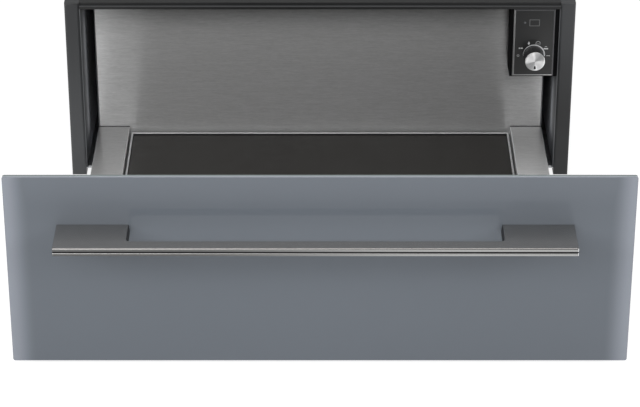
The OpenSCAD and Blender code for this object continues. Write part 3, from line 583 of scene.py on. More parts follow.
class Nodes:
    """The nodes of a material or of the world in the making."""

    def __init__(self, owner: bpy.types.ID) -> None:
        """Starts the owner's tree without nodes."""
        owner.use_nodes = True
        self.tree = owner.node_tree
        self.tree.nodes.clear()

    def join(self, socket: Socket, value: object) -> None:
        """Links an input to a source, or sets it.

        Args:
            socket: the input.
            value: the source, or a number, a vector or a colour.
        """
        if isinstance(value, Socket):
            self.tree.links.new(value, socket)
        else:
            socket.default_value = (*value, 1) if socket.type == "RGBA" else value

    def put(self, node: bpy.types.Node, **inputs: object) -> None:
        """Joins inputs of a node to values, with the spaces of their names as underscores."""
        for name, value in inputs.items():
            self.join(node.inputs[name.replace("_", " ")], value)

    def add(self, kind: str, **inputs: object) -> bpy.types.Node:
        """Adds a node.

        Args:
            kind: its kind.
            inputs: values for its inputs, with the spaces of their names as underscores.

        Returns:
            The node.
        """
        node = self.tree.nodes.new("ShaderNode" + kind)
        self.put(node, **inputs)
        return node

    def fill(self, node: bpy.types.Node, *values: object) -> Socket:
        """Joins the inputs that a node uses to values.

        Args:
            node: the node.
            values: one for each such input, in order.

        Returns:
            The node's output.
        """
        for socket, value in zip([s for s in node.inputs if s.enabled], values):
            self.join(socket, value)
        return next(s for s in node.outputs if s.enabled)

    def maths(self, operation: str, *values: Socket | float) -> Socket:
        """Works out an operation on values.

        Args:
            operation: its name.
            values: sources or numbers.

        Returns:
            The result.
        """
        node = self.add("Math")
        node.operation = operation
        return self.fill(node, *values)

    def weigh(self, a: Socket, share_a: float, b: Socket, share_b: float) -> Socket:
        """The sum of two values, each times its own share."""
        return self.maths(
            "ADD", self.maths("MULTIPLY", a, share_a), self.maths("MULTIPLY", b, share_b)
        )

    def axis(self, vector: Socket, name: str) -> Socket:
        """One coordinate of a vector."""
        return self.add("SeparateXYZ", Vector=vector).outputs[name]

    def spread(
        self, value: Socket, source: tuple, target: tuple = (0.0, 1.0), smooth: bool = False
    ) -> Socket:
        """Maps one range on another, held at its ends.

        Args:
            value: what is mapped.
            source: its range.
            target: the new range.
            smooth: whether the passage is eased at both ends.

        Returns:
            The mapped value.
        """
        ends = dict(zip(("From_Min", "From_Max", "To_Min", "To_Max"), source + target))
        node = self.add("MapRange", Value=value, **ends)
        node.interpolation_type = "SMOOTHSTEP" if smooth else "LINEAR"
        return node.outputs["Result"]


class Shader(Nodes):
    """A material's nodes, which end in a Principled shader."""

    def __init__(self, name: str) -> None:
        """Starts a material with that shader."""
        self.material = bpy.data.materials.new(name)
        super().__init__(self.material)
        self.shader = self.add("BsdfPrincipled")
        self.add("OutputMaterial", Surface=self.shader.outputs["BSDF"])

    def set(self, **inputs: object) -> None:
        """Joins the shader's own inputs to values."""
        self.put(self.shader, **inputs)

    def place(self, stretch: tuple = (1, 1, 1)) -> Socket:
        """Object coordinates, multiplied by a stretch."""
        source = self.add("TexCoord").outputs["Object"]
        return self.add("Mapping", Vector=source, Scale=stretch).outputs["Vector"]

    def noise(self, vector: Socket, scale: float, detail: float = 2, rough: float = 0.5) -> Socket:
        """Noise from 0 to 1.

        Args:
            vector: where it is read.
            scale: waves per metre.
            detail: number of finer layers.
            rough: share of each finer layer.

        Returns:
            The noise.
        """
        node = self.add("TexNoise", Vector=vector, Scale=scale, Detail=detail, Roughness=rough)
        return node.outputs["Fac"]

    def ramp(self, value: Socket, stops: list, hard: bool = False) -> Socket:
        """A colour ramp.

        Args:
            value: from 0 to 1.
            stops: pairs of place and colour.
            hard: whether each colour holds up to the next stop.

        Returns:
            The colour.
        """
        node = self.add("ValToRGB", Fac=value)
        node.color_ramp.interpolation = "CONSTANT" if hard else "LINEAR"
        elements = node.color_ramp.elements
        while len(elements) < len(stops):
            elements.new(0.5)
        for element, (place, color) in zip(elements, stops):
            element.position = place
            element.color = (*color, 1)
        return node.outputs["Color"]

    def mix(self, share: Socket, a: Socket | tuple, b: Socket | tuple) -> Socket:
        """Mixes two colours.

        Args:
            share: share of the second.
            a: first colour.
            b: second colour.

        Returns:
            The mixed colour.
        """
        node = self.add("Mix")
        node.data_type = "RGBA"
        return self.fill(node, share, a, b)

    def tones(self, share: Socket, color: tuple, low: float, high: float) -> Socket:
        """A colour that goes from low to high times itself with the share."""
        return self.mix(share, *(tuple(factor * c for c in color) for factor in (low, high)))

    def bump(self, height: Socket, distance: float) -> None:
        """Raises the surface by a height of at most distance, in metres."""
        node = self.add("Bump", Height=height, Distance=distance, Strength=1.0)
        self.set(Normal=node.outputs["Normal"])

    def brush(self, strength: float, turn: float) -> None:
        """Stretches the highlights.

        Args:
            strength: how far, from 0 to 1.
            turn: the part of a full turn from the UV map's first axis.
        """
        node = self.add("Tangent")
        node.direction_type = "UV_MAP"
        node.uv_map = "UVMap"
        self.set(
            Tangent=node.outputs["Tangent"], Anisotropic=strength, Anisotropic_Rotation=turn
        )


@dataclass(frozen=True)
class Finish:
    """A finish, and the name of a material slot, which it carries."""

    name: str
    slot: str = field(default="", kw_only=True)

    @cache
    def make(self) -> bpy.types.Material:
        """Makes the material when it is first asked for, and keeps it.

        Returns:
            The material.
        """
        shader = Shader(self.name)
        self.draw(shader)
        return shader.material

    def draw(self, s: Shader) -> None:
        """Makes the nodes that a kind of finish has of its own, in a material's tree s."""
        raise NotImplementedError


@dataclass(frozen=True)
class Paint(Finish):
    """Sprayed paint with a faint orange peel."""

    color: tuple
    rough: float
    # Tones at the two ends of the reach along the axis: painted light and shade
    foot: float = 1.0
    head: float = 1.0
    along: str = "Z"
    reach: tuple = (0.06, 0.19)
    lively: float = 0.1
    drift: float = 0.04
    peel: float = 0.02 * MM

    def draw(self, s: Shader) -> None:
        """Tone goes along an axis as painted light and shade, colour and gloss drift, and a fine
        noise raises the film.

        Args:
            s: the material's nodes.
        """
        place = s.place()
        drift = s.noise(place, 9)
        ends = (
            s.tones(drift, self.color, (1 - self.lively) * factor, (1 + self.lively) * factor)
            for factor in (self.foot, self.head)
        )
        share = s.spread(s.axis(place, self.along), self.reach, smooth=True)
        gloss = (self.rough - self.drift, self.rough + self.drift)
        s.set(Base_Color=s.mix(share, *ends), Roughness=s.spread(drift, MIDDLE, gloss))
        s.bump(s.noise(place, 900), self.peel)


@dataclass(frozen=True)
class BrushedMetal(Finish):
    """Metal with fine parallel scratches."""

    color: tuple
    rough: float
    contrast: float
    scratch: float
    grain: Grain = Grain.NONE
    stretch: float = 0.6
    fine: float = 1400.0
    wide: float = 180.0
    drift: float = 0.05
    # Tones at the two ends of the reach along the axis: painted light and shade
    start: float = 1.0
    end: float = 1.0
    along: str = "X"
    reach: tuple = (-0.12, 0.12)
    across: float = 0.25

    def draw(self, s: Shader) -> None:
        """Noise long along the grain gives colour, gloss and relief; a tone along an axis paints
        light and shade.

        Args:
            s: the material's nodes.
        """
        place = s.place(self.grain.value)
        fine, wide = (s.noise(place, scale, 3, 0.6) for scale in (self.fine, self.wide))
        blend = s.weigh(fine, 0.6, wide, 0.4)
        scratched = s.spread(blend, MIDDLE)
        ends = (
            s.tones(scratched, self.color, factor * (1 - self.contrast), factor * (1 + self.contrast))
            for factor in (self.start, self.end)
        )
        share = s.spread(s.axis(s.place(), self.along), self.reach, smooth=True)
        gloss = (self.rough + self.drift, self.rough - self.drift)
        s.set(
            Base_Color=s.mix(share, *ends), Roughness=s.spread(blend, MIDDLE, gloss), Metallic=1.0
        )
        if self.grain is not Grain.NONE:
            s.brush(self.stretch, self.across)
        s.bump(fine, self.scratch)


@dataclass(frozen=True)
class BackPaintedGlass(Finish):
    """Glass with grey-blue paint behind it, with painted highlights near the ends and the top."""

    color: tuple = (0.142, 0.16, 0.184)
    # Colour of the painted highlights near the ends and the top
    highlight_color: tuple = (0.29, 0.312, 0.355)
    end: tuple = (0.2745, 0.2985)
    top: tuple = (0.17, 0.204)
    top_highlight_share: float = 0.12

    def draw(self, s: Shader) -> None:
        """The share of the painted highlight colour grows with |x| before the ends, and with z under
        the top.

        Args:
            s: the material's nodes.
        """
        place = s.place()
        # Painted highlight near the ends, and under the top
        ends = s.spread(s.maths("ABSOLUTE", s.axis(place, "X")), self.end, smooth=True)
        top = s.spread(s.axis(place, "Z"), self.top, (0.0, self.top_highlight_share), smooth=True)
        drift = s.noise(place, 5)
        base = s.tones(drift, self.color, 0.97, 1.03)
        s.set(
            Base_Color=s.mix(s.maths("MAXIMUM", ends, top), base, self.highlight_color),
            Roughness=s.spread(drift, MIDDLE, (0.32, 0.38)),
            Coat_Weight=0.4, Coat_Roughness=0.02, Coat_IOR=1.5, Specular_IOR_Level=0.1,
        )


@dataclass(frozen=True)
class GlassEdge(Finish):
    """The polished edge of the front glass: greener towards the paint, with a painted highlight band
    near the front.
    """

    depth: tuple = (-0.663, -0.658)
    front: tuple = (0.2, 0.21, 0.25)
    # A painted highlight band just behind the front face
    bright: tuple = (0.36, 0.4, 0.44)
    middle: tuple = (0.34, 0.38, 0.4)
    green: tuple = (0.21, 0.25, 0.25)
    paint: tuple = (0.17, 0.2, 0.2)

    def draw(self, s: Shader) -> None:
        """A ramp over the glass's thickness, from its front face to the paint.

        Args:
            s: the material's nodes.
        """
        depth = s.spread(s.axis(s.place(), "Y"), self.depth)
        stops = zip(
            (0.0, 0.12, 0.5, 0.62, 1.0),
            (self.front, self.bright, self.middle, self.green, self.paint),
        )
        streak = s.noise(s.place((0.2, 1, 0.2)), 500)
        s.set(
            Base_Color=s.ramp(depth, list(stops)), Roughness=s.spread(streak, MIDDLE, (0.1, 0.2)),
            Coat_Weight=0.6, Coat_Roughness=0.05,
        )


@dataclass(frozen=True)
class PlateGlass(Finish):
    """The dark glass ceramic of the heated plate, with faint wiping marks."""

    color: tuple = (0.010, 0.0084, 0.0064)

    def draw(self, s: Shader) -> None:
        """Broad noise moves the gloss a little, as wiped glass shows.

        Args:
            s: the material's nodes.
        """
        wipe = s.noise(s.place((1, 0.5, 1)), 14, 4, 0.6)
        s.set(
            Base_Color=s.tones(wipe, self.color, 1.0, 1.35), IOR=1.5, Specular_IOR_Level=0.42,
            Roughness=s.spread(wipe, (0.35, 0.65), (0.10, 0.2)),
        )
        s.bump(s.noise(s.place(), 60), 0.004 * MM)


@dataclass(frozen=True)
class ZincSheet(Finish):
    """Galvanised sheet with a crystal pattern."""

    color: tuple = (0.45, 0.46, 0.47)
    scale: float = 90.0

    def draw(self, s: Shader) -> None:
        """Each crystal has its own tone and gloss.

        Args:
            s: the material's nodes.
        """
        place = s.place()
        cells = s.add("TexVoronoi", Vector=place, Scale=self.scale).outputs["Color"]
        blend = s.weigh(s.axis(cells, "X"), 0.7, s.noise(place, 60), 0.3)
        s.set(
            Base_Color=s.tones(blend, self.color, 0.82, 1.12), Metallic=1.0,
            Roughness=s.spread(blend, (0.1, 0.9), (0.48, 0.34)),
        )
        s.bump(s.noise(place, 1200), 0.004 * MM)


@dataclass(frozen=True)
class GrainedPlastic(Finish):
    """Moulded plastic, rubber or ink with an eroded grain."""

    color: tuple
    rough: float
    grain_size: float = 1800.0
    relief: float = 0.02 * MM
    coat: float = 0.0
    gloss: float = 0.5
    drift: float = 0.06

    def draw(self, s: Shader) -> None:
        """Two noises, fine and coarse, give the grain; the fine one also moves the gloss.

        Args:
            s: the material's nodes.
        """
        place = s.place()
        fine = s.noise(place, self.grain_size, 3, 0.6)
        s.set(
            Base_Color=s.tones(s.noise(place, 40), self.color, 0.88, 1.12),
            Roughness=s.spread(fine, MIDDLE, (self.rough - self.drift, self.rough + self.drift)),
            Coat_Weight=self.coat, Coat_Roughness=0.12, Specular_IOR_Level=self.gloss,
        )
        s.bump(fine, self.relief)


@dataclass(frozen=True)
class SpunMetal(Finish):
    """Metal turned on a lathe: fine rings round an axis along Y, and a painted highlight along one
    diameter.
    """

    dark: tuple = (0.6048, 0.612, 0.6192)
    light: tuple = (1.0, 1.0, 1.0)
    centre: tuple = (0.2327, 0.1467)
    rings: float = 5200.0
    rays: float = 3.5
    rough: float = 0.44
    turn: float = 0.125

    def draw(self, s: Shader) -> None:
        """Noise of the distance from the axis gives the rings, and of the direction the rays.

        The tone rises with (z - x) ** 2 / radius ** 2: a painted highlight, brightest along one
        diameter.

        Args:
            s: the material's nodes.
        """
        place = s.place()
        x, z = (s.maths("SUBTRACT", s.axis(place, n), c) for n, c in zip("XZ", self.centre))
        radius = s.maths("SQRT", s.maths("ADD", s.maths("POWER", x, 2), s.maths("POWER", z, 2)))
        ring = s.noise(s.add("CombineXYZ", X=radius).outputs[0], self.rings, 2, 0.6)
        way_x, way_z = (s.maths("DIVIDE", part, radius) for part in (x, z))
        ray = s.noise(s.add("CombineXYZ", X=way_x, Y=way_z).outputs[0], self.rays, 3, 0.6)
        # Painted bow-tie highlight along one diameter
        across = s.maths("POWER", s.maths("SUBTRACT", way_z, way_x), 2)
        blend = s.weigh(s.weigh(ring, 0.5, ray, 0.5), 0.6, across, 0.22)
        s.set(
            Base_Color=s.mix(s.spread(blend, (0.22, 0.6)), self.dark, self.light), Metallic=1.0,
            Roughness=s.spread(ring, MIDDLE, (self.rough, self.rough + 0.08)),
        )
        s.brush(1.0, self.turn)
        s.bump(ring, 0.004 * MM)


@dataclass(frozen=True)
class CircuitBoard(Finish):
    """Green board with tracks, and dark or bright parts where it carries them."""

    ground: tuple = (0.02, 0.1, 0.045)
    track: tuple = (0.05, 0.2, 0.09)
    coil: tuple = (0.25, 0.12, 0.03)
    capacitor: tuple = (0.02, 0.1, 0.3)
    relay: tuple = (0.03, 0.03, 0.035)
    sink: tuple = (0.4, 0.41, 0.42)
    parts_above: float = 1.0

    def draw(self, s: Shader) -> None:
        """A brick pattern draws the tracks; above a height, bands along X colour the parts.

        Args:
            s: the material's nodes.
        """
        place = s.place()
        dim = tuple(0.8 * c for c in self.ground)
        brick = s.add(
            "TexBrick", Vector=place, Scale=160, Color1=self.ground, Color2=dim, Mortar=self.track
        )
        stops = zip((0.0, 0.445, 0.6, 0.78), (self.coil, self.capacitor, self.relay, self.sink))
        parts = s.ramp(s.spread(s.axis(place, "X"), (0.06, 0.17)), list(stops), hard=True)
        above = s.maths("GREATER_THAN", s.axis(place, "Z"), self.parts_above)
        s.set(
            Base_Color=s.mix(above, brick.outputs["Color"], parts),
            Roughness=s.spread(s.noise(place, 300), MIDDLE, (0.3, 0.5)),
        )


@dataclass(frozen=True)
class Fibre(Finish):
    """Pressed fibre board or coated foil, with fibres or wrinkles."""

    color: tuple = (0.72, 0.66, 0.5)
    rough: float = 0.9
    metal: float = 0.0
    scale: float = 500.0
    relief: float = 0.15 * MM

    def draw(self, s: Shader) -> None:
        """Stretched noise in two directions makes the fibres.

        Args:
            s: the material's nodes.
        """
        ways = ((1, 0.15, 1), (0.15, 1, 1))
        both = s.maths("MAXIMUM", *(s.noise(s.place(way), self.scale, 4, 0.65) for way in ways))
        s.set(
            Base_Color=s.tones(both, self.color, 0.75, 1.15), Metallic=self.metal,
            Roughness=s.spread(both, (0.3, 0.8), (self.rough, self.rough - 0.1)),
        )
        s.bump(both, self.relief)


# Rear wall darker towards its top: painted shade under the top rail
STEEL_WALL = BrushedMetal(
    "brushed_steel_wall", (0.52, 0.52, 0.52), 0.38, 0.16, 0.005 * MM, Grain.ALONG_X, 1.0,
    1800.0, 420.0, end=0.74, along="Z", reach=(0.14, 0.192), slot="brushed_steel",
)
# Strips brighter towards +X: painted light on the right strip
STEEL_STRIP = BrushedMetal(
    "brushed_steel_strip", (0.5, 0.5, 0.5), 0.38, 0.12, 0.004 * MM, Grain.ALONG_X, 0.9,
    1800.0, 420.0, start=0.98, end=1.46, slot="brushed_steel",
)
# Painted highlight on the strips' inner folds and on the handle's right end
FOLD_HIGHLIGHT = BrushedMetal("painted_highlight_steel", (0.95, 0.95, 0.95), 0.5, 0.03, 0.001 * MM)
HANDLE_METAL = BrushedMetal(
    "handle_metal", (0.46, 0.445, 0.43), 0.27, 0.012, 0.0001 * MM, Grain.ALONG_X, 0.6,
    3000.0, 900.0, drift=0.004, slot="handle_metal",
)
# The beads' crowns: a lit copy of the handle metal, a painted highlight that fades to the right
HANDLE_CROWN_LIGHT = BrushedMetal(
    "handle_crown_painted_light", (0.385, 0.38, 0.376), 0.25, 0.01, 0.00005 * MM, Grain.ALONG_X, 0.6,
    3000.0, 900.0, drift=0.003, start=0.9, end=0.5, reach=(-0.2, 0.2),
)
# The beads' fronts: painted shade at the left, turning to a painted highlight at the right
HANDLE_FRONT_LIGHT = replace(
    HANDLE_CROWN_LIGHT, name="handle_front_painted_light", color=(0.35, 0.354, 0.35), start=0.36, end=1.12,
    reach=(-0.14, 0.14),
)
# Painted shade in the handle's groove and on its notch's sides
HANDLE_SHADE = Paint("handle_painted_shade", (0.012, 0.012, 0.013), 0.5)
TRIM_STEEL = BrushedMetal(
    "bright_trim_steel", (0.93, 0.93, 0.93), 0.42, 0.03, 0.0005 * MM, slot="frame_steel"
)
# Face frame brighter towards the right: painted light
FACE_STEEL = BrushedMetal(
    "face_frame_steel", (0.45, 0.45, 0.45), 0.3, 0.05, 0.001 * MM, start=1.1, end=1.5,
    reach=(0.212, 0.25), slot="trim_metal",
)
# A shaded copy of the steel trim: painted shade
TRIM_SHADE = BrushedMetal("trim_steel_painted_shade", (0.12, 0.12, 0.125), 0.3, 0.05, 0.002 * MM)
# Left post darker towards its top: painted shade
LEFT_POST_PAINT = Paint(
    "left_post_paint", (0.045, 0.047, 0.05), 0.4, foot=1.12, head=0.68, slot="dark_paint"
)
# Right post darker towards its foot: painted shade
RIGHT_POST_PAINT = replace(LEFT_POST_PAINT, name="right_post_paint", rough=0.5, foot=0.2, head=1.0)
# Liners darker at the front and lighter deeper in: painted light and shade along Y
LINER_PAINT = Paint(
    "liner_paint", (0.56, 0.575, 0.61), 0.5, foot=0.2, head=1.6, along="Y",
    reach=(-0.25, -0.195), slot="dark_paint",
)
RAIL_PAINT = Paint("black_rail_paint", (0.0085, 0.009, 0.0095), 0.5, slot="black_paint")
# A lighter copy of the rail paint for the up-facing ledge: painted light
LEDGE_LIGHT = Paint("rail_ledge_painted_light", (0.06, 0.062, 0.065), 0.45)
CARRIER_PAINT = Paint("carrier_paint", (0.04, 0.043, 0.046), 0.5, slot="dark_paint")
ZINC = ZincSheet("galvanised_sheet", slot="zinc_sheet")
SLIDE_STEEL = ZincSheet("slide_steel", (0.46, 0.49, 0.53), 420.0, slot="slide_steel")
SCREW_STEEL = ZincSheet("screw_steel", (0.6, 0.61, 0.62), 900.0, slot="screw_steel")
BRASS = ZincSheet("yellow_cage_metal", (0.62, 0.45, 0.16), 900.0)
RUBBER = GrainedPlastic(
    "black_rubber", (0.014, 0.014, 0.014), 0.75, 1200.0, 0.03 * MM, slot="black_rubber"
)
BLACK_PLASTIC = GrainedPlastic(
    "black_plastic", (0.006, 0.006, 0.0065), 0.85, gloss=0.02, slot="black_plastic"
)
KNOB_PLASTIC = GrainedPlastic(
    "knob_plastic", (0.016, 0.016, 0.017), 0.3, 2600.0, 0.008 * MM, 0.3, slot="black_plastic"
)
FASCIA_BLACK = GrainedPlastic(
    "fascia_black", (0.019, 0.0192, 0.0195), 0.34, 900.0, 0.01 * MM, 0.25, 0.4,
    slot="fascia_black",
)
PALE_PLASTIC = GrainedPlastic(
    "pale_plastic", (0.66, 0.66, 0.62), 0.45, 1500.0, slot="pale_plastic"
)
CERAMIC = GrainedPlastic("terminal_ceramic", (0.68, 0.65, 0.54), 0.55, 900.0, 0.03 * MM)
SWITCH_PLASTIC = GrainedPlastic("switch_plastic", (0.03, 0.032, 0.034), 0.4, 1500.0)
PRINT_WHITE = GrainedPlastic(
    "printed_marks", (0.62, 0.63, 0.64), 0.6, 3000.0, 0.002 * MM, slot="trim_metal"
)
PRINT_PALE = replace(PRINT_WHITE, name="printed_signs", color=(0.5, 0.505, 0.51))
PRINT_GREY = replace(PRINT_WHITE, name="grey_printed_line", color=(0.13, 0.13, 0.132))
POINTER_BLACK = replace(
    PRINT_WHITE, name="pointer_black", color=(0.003, 0.003, 0.003), gloss=0.05,
    slot="pointer_black",
)
LENS_GREY = GrainedPlastic(
    "indicator_lens", (0.09, 0.095, 0.1), 0.12, 3000.0, 0.001 * MM, 0.8, slot="lens"
)
FRONT_PAINTED = BackPaintedGlass("back_painted_glass", slot="painted_glass")
FRONT_EDGE = GlassEdge("polished_glass_edge")
PLATE_GLASS = PlateGlass("plate_glass", slot="plate_glass")
SPUN = SpunMetal("spun_aluminium", slot="spun_metal")
BOARD = CircuitBoard("circuit_board")
MODULE = CircuitBoard("power_module_parts", parts_above=0.0175)
INSULATION = Fibre("insulation_board")
FOIL = Fibre("heating_foil", (0.5, 0.2, 0.06), 0.35, 0.6, 260.0, 0.05 * MM)


# ---------- sub-assemblies ----------


@dataclass
class DrawerFront:
    """The glass front with its handle, its steel carrier and its bumpers."""

    shop: Workshop
    glass_corner: float = 2.2 * MM
    glass_arris: float = 0.55 * MM
    face_facing: float = 0.985
    bead_radius: float = 1.5 * MM
    bead_under: float = 0.9 * MM
    bead_reach: float = 4 * MM
    groove_height: float = 0.9 * MM
    groove_depth: float = 1.6 * MM
    groove_corner: float = 0.15 * MM
    groove_span: tuple = (0.3 * MM, 3 * MM)
    crown_facing: tuple = (0.35, 0.92)
    end_highlight_facing: float = 0.3
    notch_half: float = 177 * MM
    notch_corner: float = 3 * MM
    notch_draft: float = 1.4 * MM
    bar_depth: float = 15.3 * MM
    end_corner: float = 0.7 * MM
    edge: float = 0.35 * MM
    bumper: float = 4 * MM
    bumper_dome: float = 1.2 * MM

    def build(self) -> None:
        """Makes every piece of the front."""
        self.glass()
        self.handle()
        self.bumpers()
        self.shop.soften("drawer", CARRIER_PAINT, 0.4 * MM, "front_carrier")
        self.shop.soften("drawer", CARRIER_PAINT, 0.3 * MM, "carrier_cover")
        self.shop.dress(SCREW_STEEL, "handle_studs")

    def glass(self) -> None:
        """The glass: a slab with round corners and a polished arris on both faces."""
        low, high = box("front_glass")
        outline = Outline(upright(low, high), self.glass_corner, 8)
        shell = slab(outline, Axis.Y, low[1], high[1], self.glass_arris)
        piece = self.shop.add("front_glass_panel", shell, FRONT_PAINTED, "drawer", "front_glass")
        self.shop.part(piece, np.abs(places(piece.data)[1][:, 1]) < self.face_facing, FRONT_EDGE)

    def handle(self) -> None:
        """The handle plate.

        Its plan is carried up in Z. At each height the front edge is drawn in by the section of
        two round beads with a groove between them, and the other edges by a small rounding.
        """
        low, high = box("handle")
        tip, (centre, _, middle) = low[1], (low + high) / 2
        under, over = middle - self.groove_height / 2, middle + self.groove_height / 2
        section = [
            (self.bead_reach, low[2], 0), (0, low[2], self.bead_under),
            (0, under, self.bead_radius), (self.groove_depth, under, self.groove_corner),
            (self.groove_depth, over, self.groove_corner), (0, over, self.bead_under),
            (0, high[2], self.bead_radius), (self.bead_reach, high[2], 0),
        ]
        section = np.array(section)
        inset, height = rounded(section[:, :2], section[:, 2], 6).T
        dip = np.clip(self.edge - np.minimum(height - low[2], high[2] - height), 0, None)
        side = self.edge - np.sqrt(np.maximum(self.edge**2 - dip**2, 0))
        sunk = (high[2] - height) / (high[2] - low[2])
        end = high[0] - centre - side
        notch = self.notch_half + side - self.notch_draft * sunk
        front, rear, bar = tip + inset, high[1] - side, tip + self.bar_depth - side
        x = np.stack([-end, end, end, notch, notch, -notch, -notch, -end], 1) + centre
        y = np.stack([front, front, rear, rear, bar, bar, rear, rear], 1)
        radii = np.repeat([self.end_corner, 0, self.notch_corner, 0], 2)
        plan = rounded(np.stack([x, y], -1), radii, 6)
        shell = Axis.Z.carry(plan, height)
        piece = self.shop.add("handle_plate", shell, HANDLE_METAL, "drawer", "handle")
        self.split_handle(piece, np.array([centre, tip, middle]))

    def split_handle(self, piece: Piece, start: Array) -> None:
        """Gives the cuts painted shade, the beads' crowns and fronts painted light and shade, and the
        right end a painted highlight, as finishes of their own.

        Args:
            piece: the handle plate.
            start: the middle of its front edge.
        """
        centre, normal = places(piece.data)
        x, depth, height = (centre - start).T
        front = (depth < self.bead_radius) & (normal[:, 2] < self.crown_facing[1])
        # Lit copies of the handle metal on the beads' crowns and fronts
        crown = front & (normal[:, 2] > self.crown_facing[0])
        inside = (depth > self.groove_span[0]) & (depth < self.groove_span[1])
        # Painted shade in the groove and on the notch's sides
        cut = inside & (np.abs(height) < self.groove_height)
        cut |= (np.abs(normal[:, 0]) > 0.5) & (np.abs(x) < self.notch_half + 1 * MM)
        # A painted highlight on the right end of the front
        end = front & (normal[:, 0] > self.end_highlight_facing) & (x > 0)
        index = np.select([cut, end, crown, front], [1, 4, 2, 3], 0)
        self.shop.part(piece, index, HANDLE_SHADE, HANDLE_CROWN_LIGHT, HANDLE_FRONT_LIGHT, FOLD_HIGHLIGHT)

    def bumpers(self) -> None:
        """The rubber bumpers: low domes, each turned from a quarter-round profile."""
        low, high = box("front_bumpers")
        r, foot, thick = self.bumper, low[1], high[1] - low[1]
        inset, rise = quarter(6)
        dome = np.stack([r - self.bumper_dome * rise, foot + thick * (1 - 0.75 * inset)], 1)
        profile = np.vstack([[(0, foot), (r, foot)], dome, [(0, high[1])]])
        shells = [
            Lathe((x, z), 32).turn(profile)
            for x in (low[0] + r, high[0] - r)
            for z in (low[2] + r, high[2] - r)
        ]
        self.shop.add("front_bumper_domes", joined(shells), RUBBER, "drawer", "front_bumpers")


@dataclass
class DrawerBody:
    """The pan, the steel strips beside the plate, the rear wall and what they carry."""

    shop: Workshop
    sheet: Sheet = Sheet(0.8 * MM, 0.9 * MM)
    strip_rim: float = 11 * MM
    shade_bead_rise: float = 0.35 * MM
    shade_bead_depth: float = 3 * MM
    wall_notch: float = 39.5 * MM
    wall_corner: float = 0.8 * MM
    fold_highlight_facing: tuple = (0.12, 0.3)

    def build(self) -> None:
        """Makes every piece of the drawer's body."""
        self.channels()
        self.rear_wall()
        self.shop.soften("drawer", ZINC, 0.25 * MM, "drawer_pan")
        self.shop.soften("drawer", ZINC, 0.3 * MM, "front_brackets")
        self.shop.soften("drawer", ZINC, 0.2 * MM, "plate_support_rails")
        self.shop.soften("drawer", SLIDE_STEEL, 0.3 * MM, "left_inner_rail", "right_inner_rail")
        self.shop.dress(SCREW_STEEL, "drawer_screws")

    def channels(self) -> None:
        """Each strip: a folded section in X and Z, carried along Y, and a black bead behind it that
        stands for the shade in the seam.

        The fold beside the plate carries a painted highlight.
        """
        for side, way in (("left", -1), ("right", 1)):
            low, high = box(f"{side}_side_channel")
            inner, outer = (low[0], high[0])[::way]
            top = high[2]
            path = [(inner, low[2]), (inner, top), (outer, top), (outer, top - self.strip_rim)]
            section = self.sheet.section(path[::way])
            shell = slab(section, Axis.Y, low[1], high[1], 0.12 * MM, 2)
            node = f"{side}_side_channel"
            piece = self.shop.add(f"{side}_strip", shell, STEEL_STRIP, "drawer", node)
            x, _, z = places(piece.data)[1].T
            # The fold beside the plate carries a painted highlight
            inwards, upwards = self.fold_highlight_facing
            self.shop.part(piece, (x * way < -inwards) & (z > upwards), FOLD_HIGHLIGHT)
            # A black rubber bead fills the gap to the rear wall: a dark piece put where there is
            # shade
            gap = Outline(rectangle((low[0], high[1]), (high[0], box("rear_wall")[0][1])))
            shell = slab(gap, Axis.Z, top - self.shade_bead_depth, top + self.shade_bead_rise, 0.1 * MM)
            self.shop.add(f"{side}_wall_shade_bead", shell, RUBBER, "drawer")

    def rear_wall(self) -> None:
        """The rear wall: a folded tray whose lower corners are cut away for the slides."""
        low, high = box("rear_wall")
        left, right, notch = box("drawer_pan")[0][0], box("drawer_pan")[1][0], self.wall_notch
        corners = [
            (left, low[2]), (right, low[2]), (right, notch), (high[0], notch),
            (high[0], high[2]), (low[0], high[2]), (low[0], notch), (left, notch),
        ]
        shell = self.sheet.tray(Outline(corners, self.wall_corner, 4), Axis.Y, low[1], high[1])
        self.shop.add("rear_wall_sheet", shell, STEEL_WALL, "drawer", "rear_wall")


@dataclass
class HeatedPlate:
    """The glass plate, its bright frame, and the heating parts under it."""

    shop: Workshop
    corner: float = 0.4 * MM
    frame_width: float = 2 * MM
    frame_foot: float = 0.2 * MM
    edge: float = 0.5 * MM
    top_facing: float = 0.4

    def build(self) -> None:
        """Makes the plate and its frame, and dresses what lies under them."""
        low, high = box("heated_glass_plate")
        outline = Outline(rectangle(low, high), self.corner, 3)
        shell = slab(outline, Axis.Z, low[2], high[2], self.edge)
        self.shop.add("glass_plate", shell, PLATE_GLASS, "drawer", "heated_glass_plate")
        low, high = box("glass_trim_frame")
        corners = rectangle((0, low[2]), (self.frame_width, high[2]))
        section = Outline(corners, np.repeat([self.frame_foot, self.edge], 2))
        shell = rim(Outline(rectangle(low, high)), section, Axis.Z)
        piece = self.shop.add("plate_frame", shell, TRIM_STEEL, "drawer", "glass_trim_frame")
        # All but the frame's upward faces carry painted shade
        self.shop.part(piece, places(piece.data)[1][:, 2] < self.top_facing, TRIM_SHADE)
        self.shop.dress(FOIL, "heating_foil")
        self.shop.dress(INSULATION, "insulation_board")
        self.shop.dress(SCREW_STEEL, "thermal_cutout")
        self.shop.dress(CERAMIC, "heater_terminal_block")


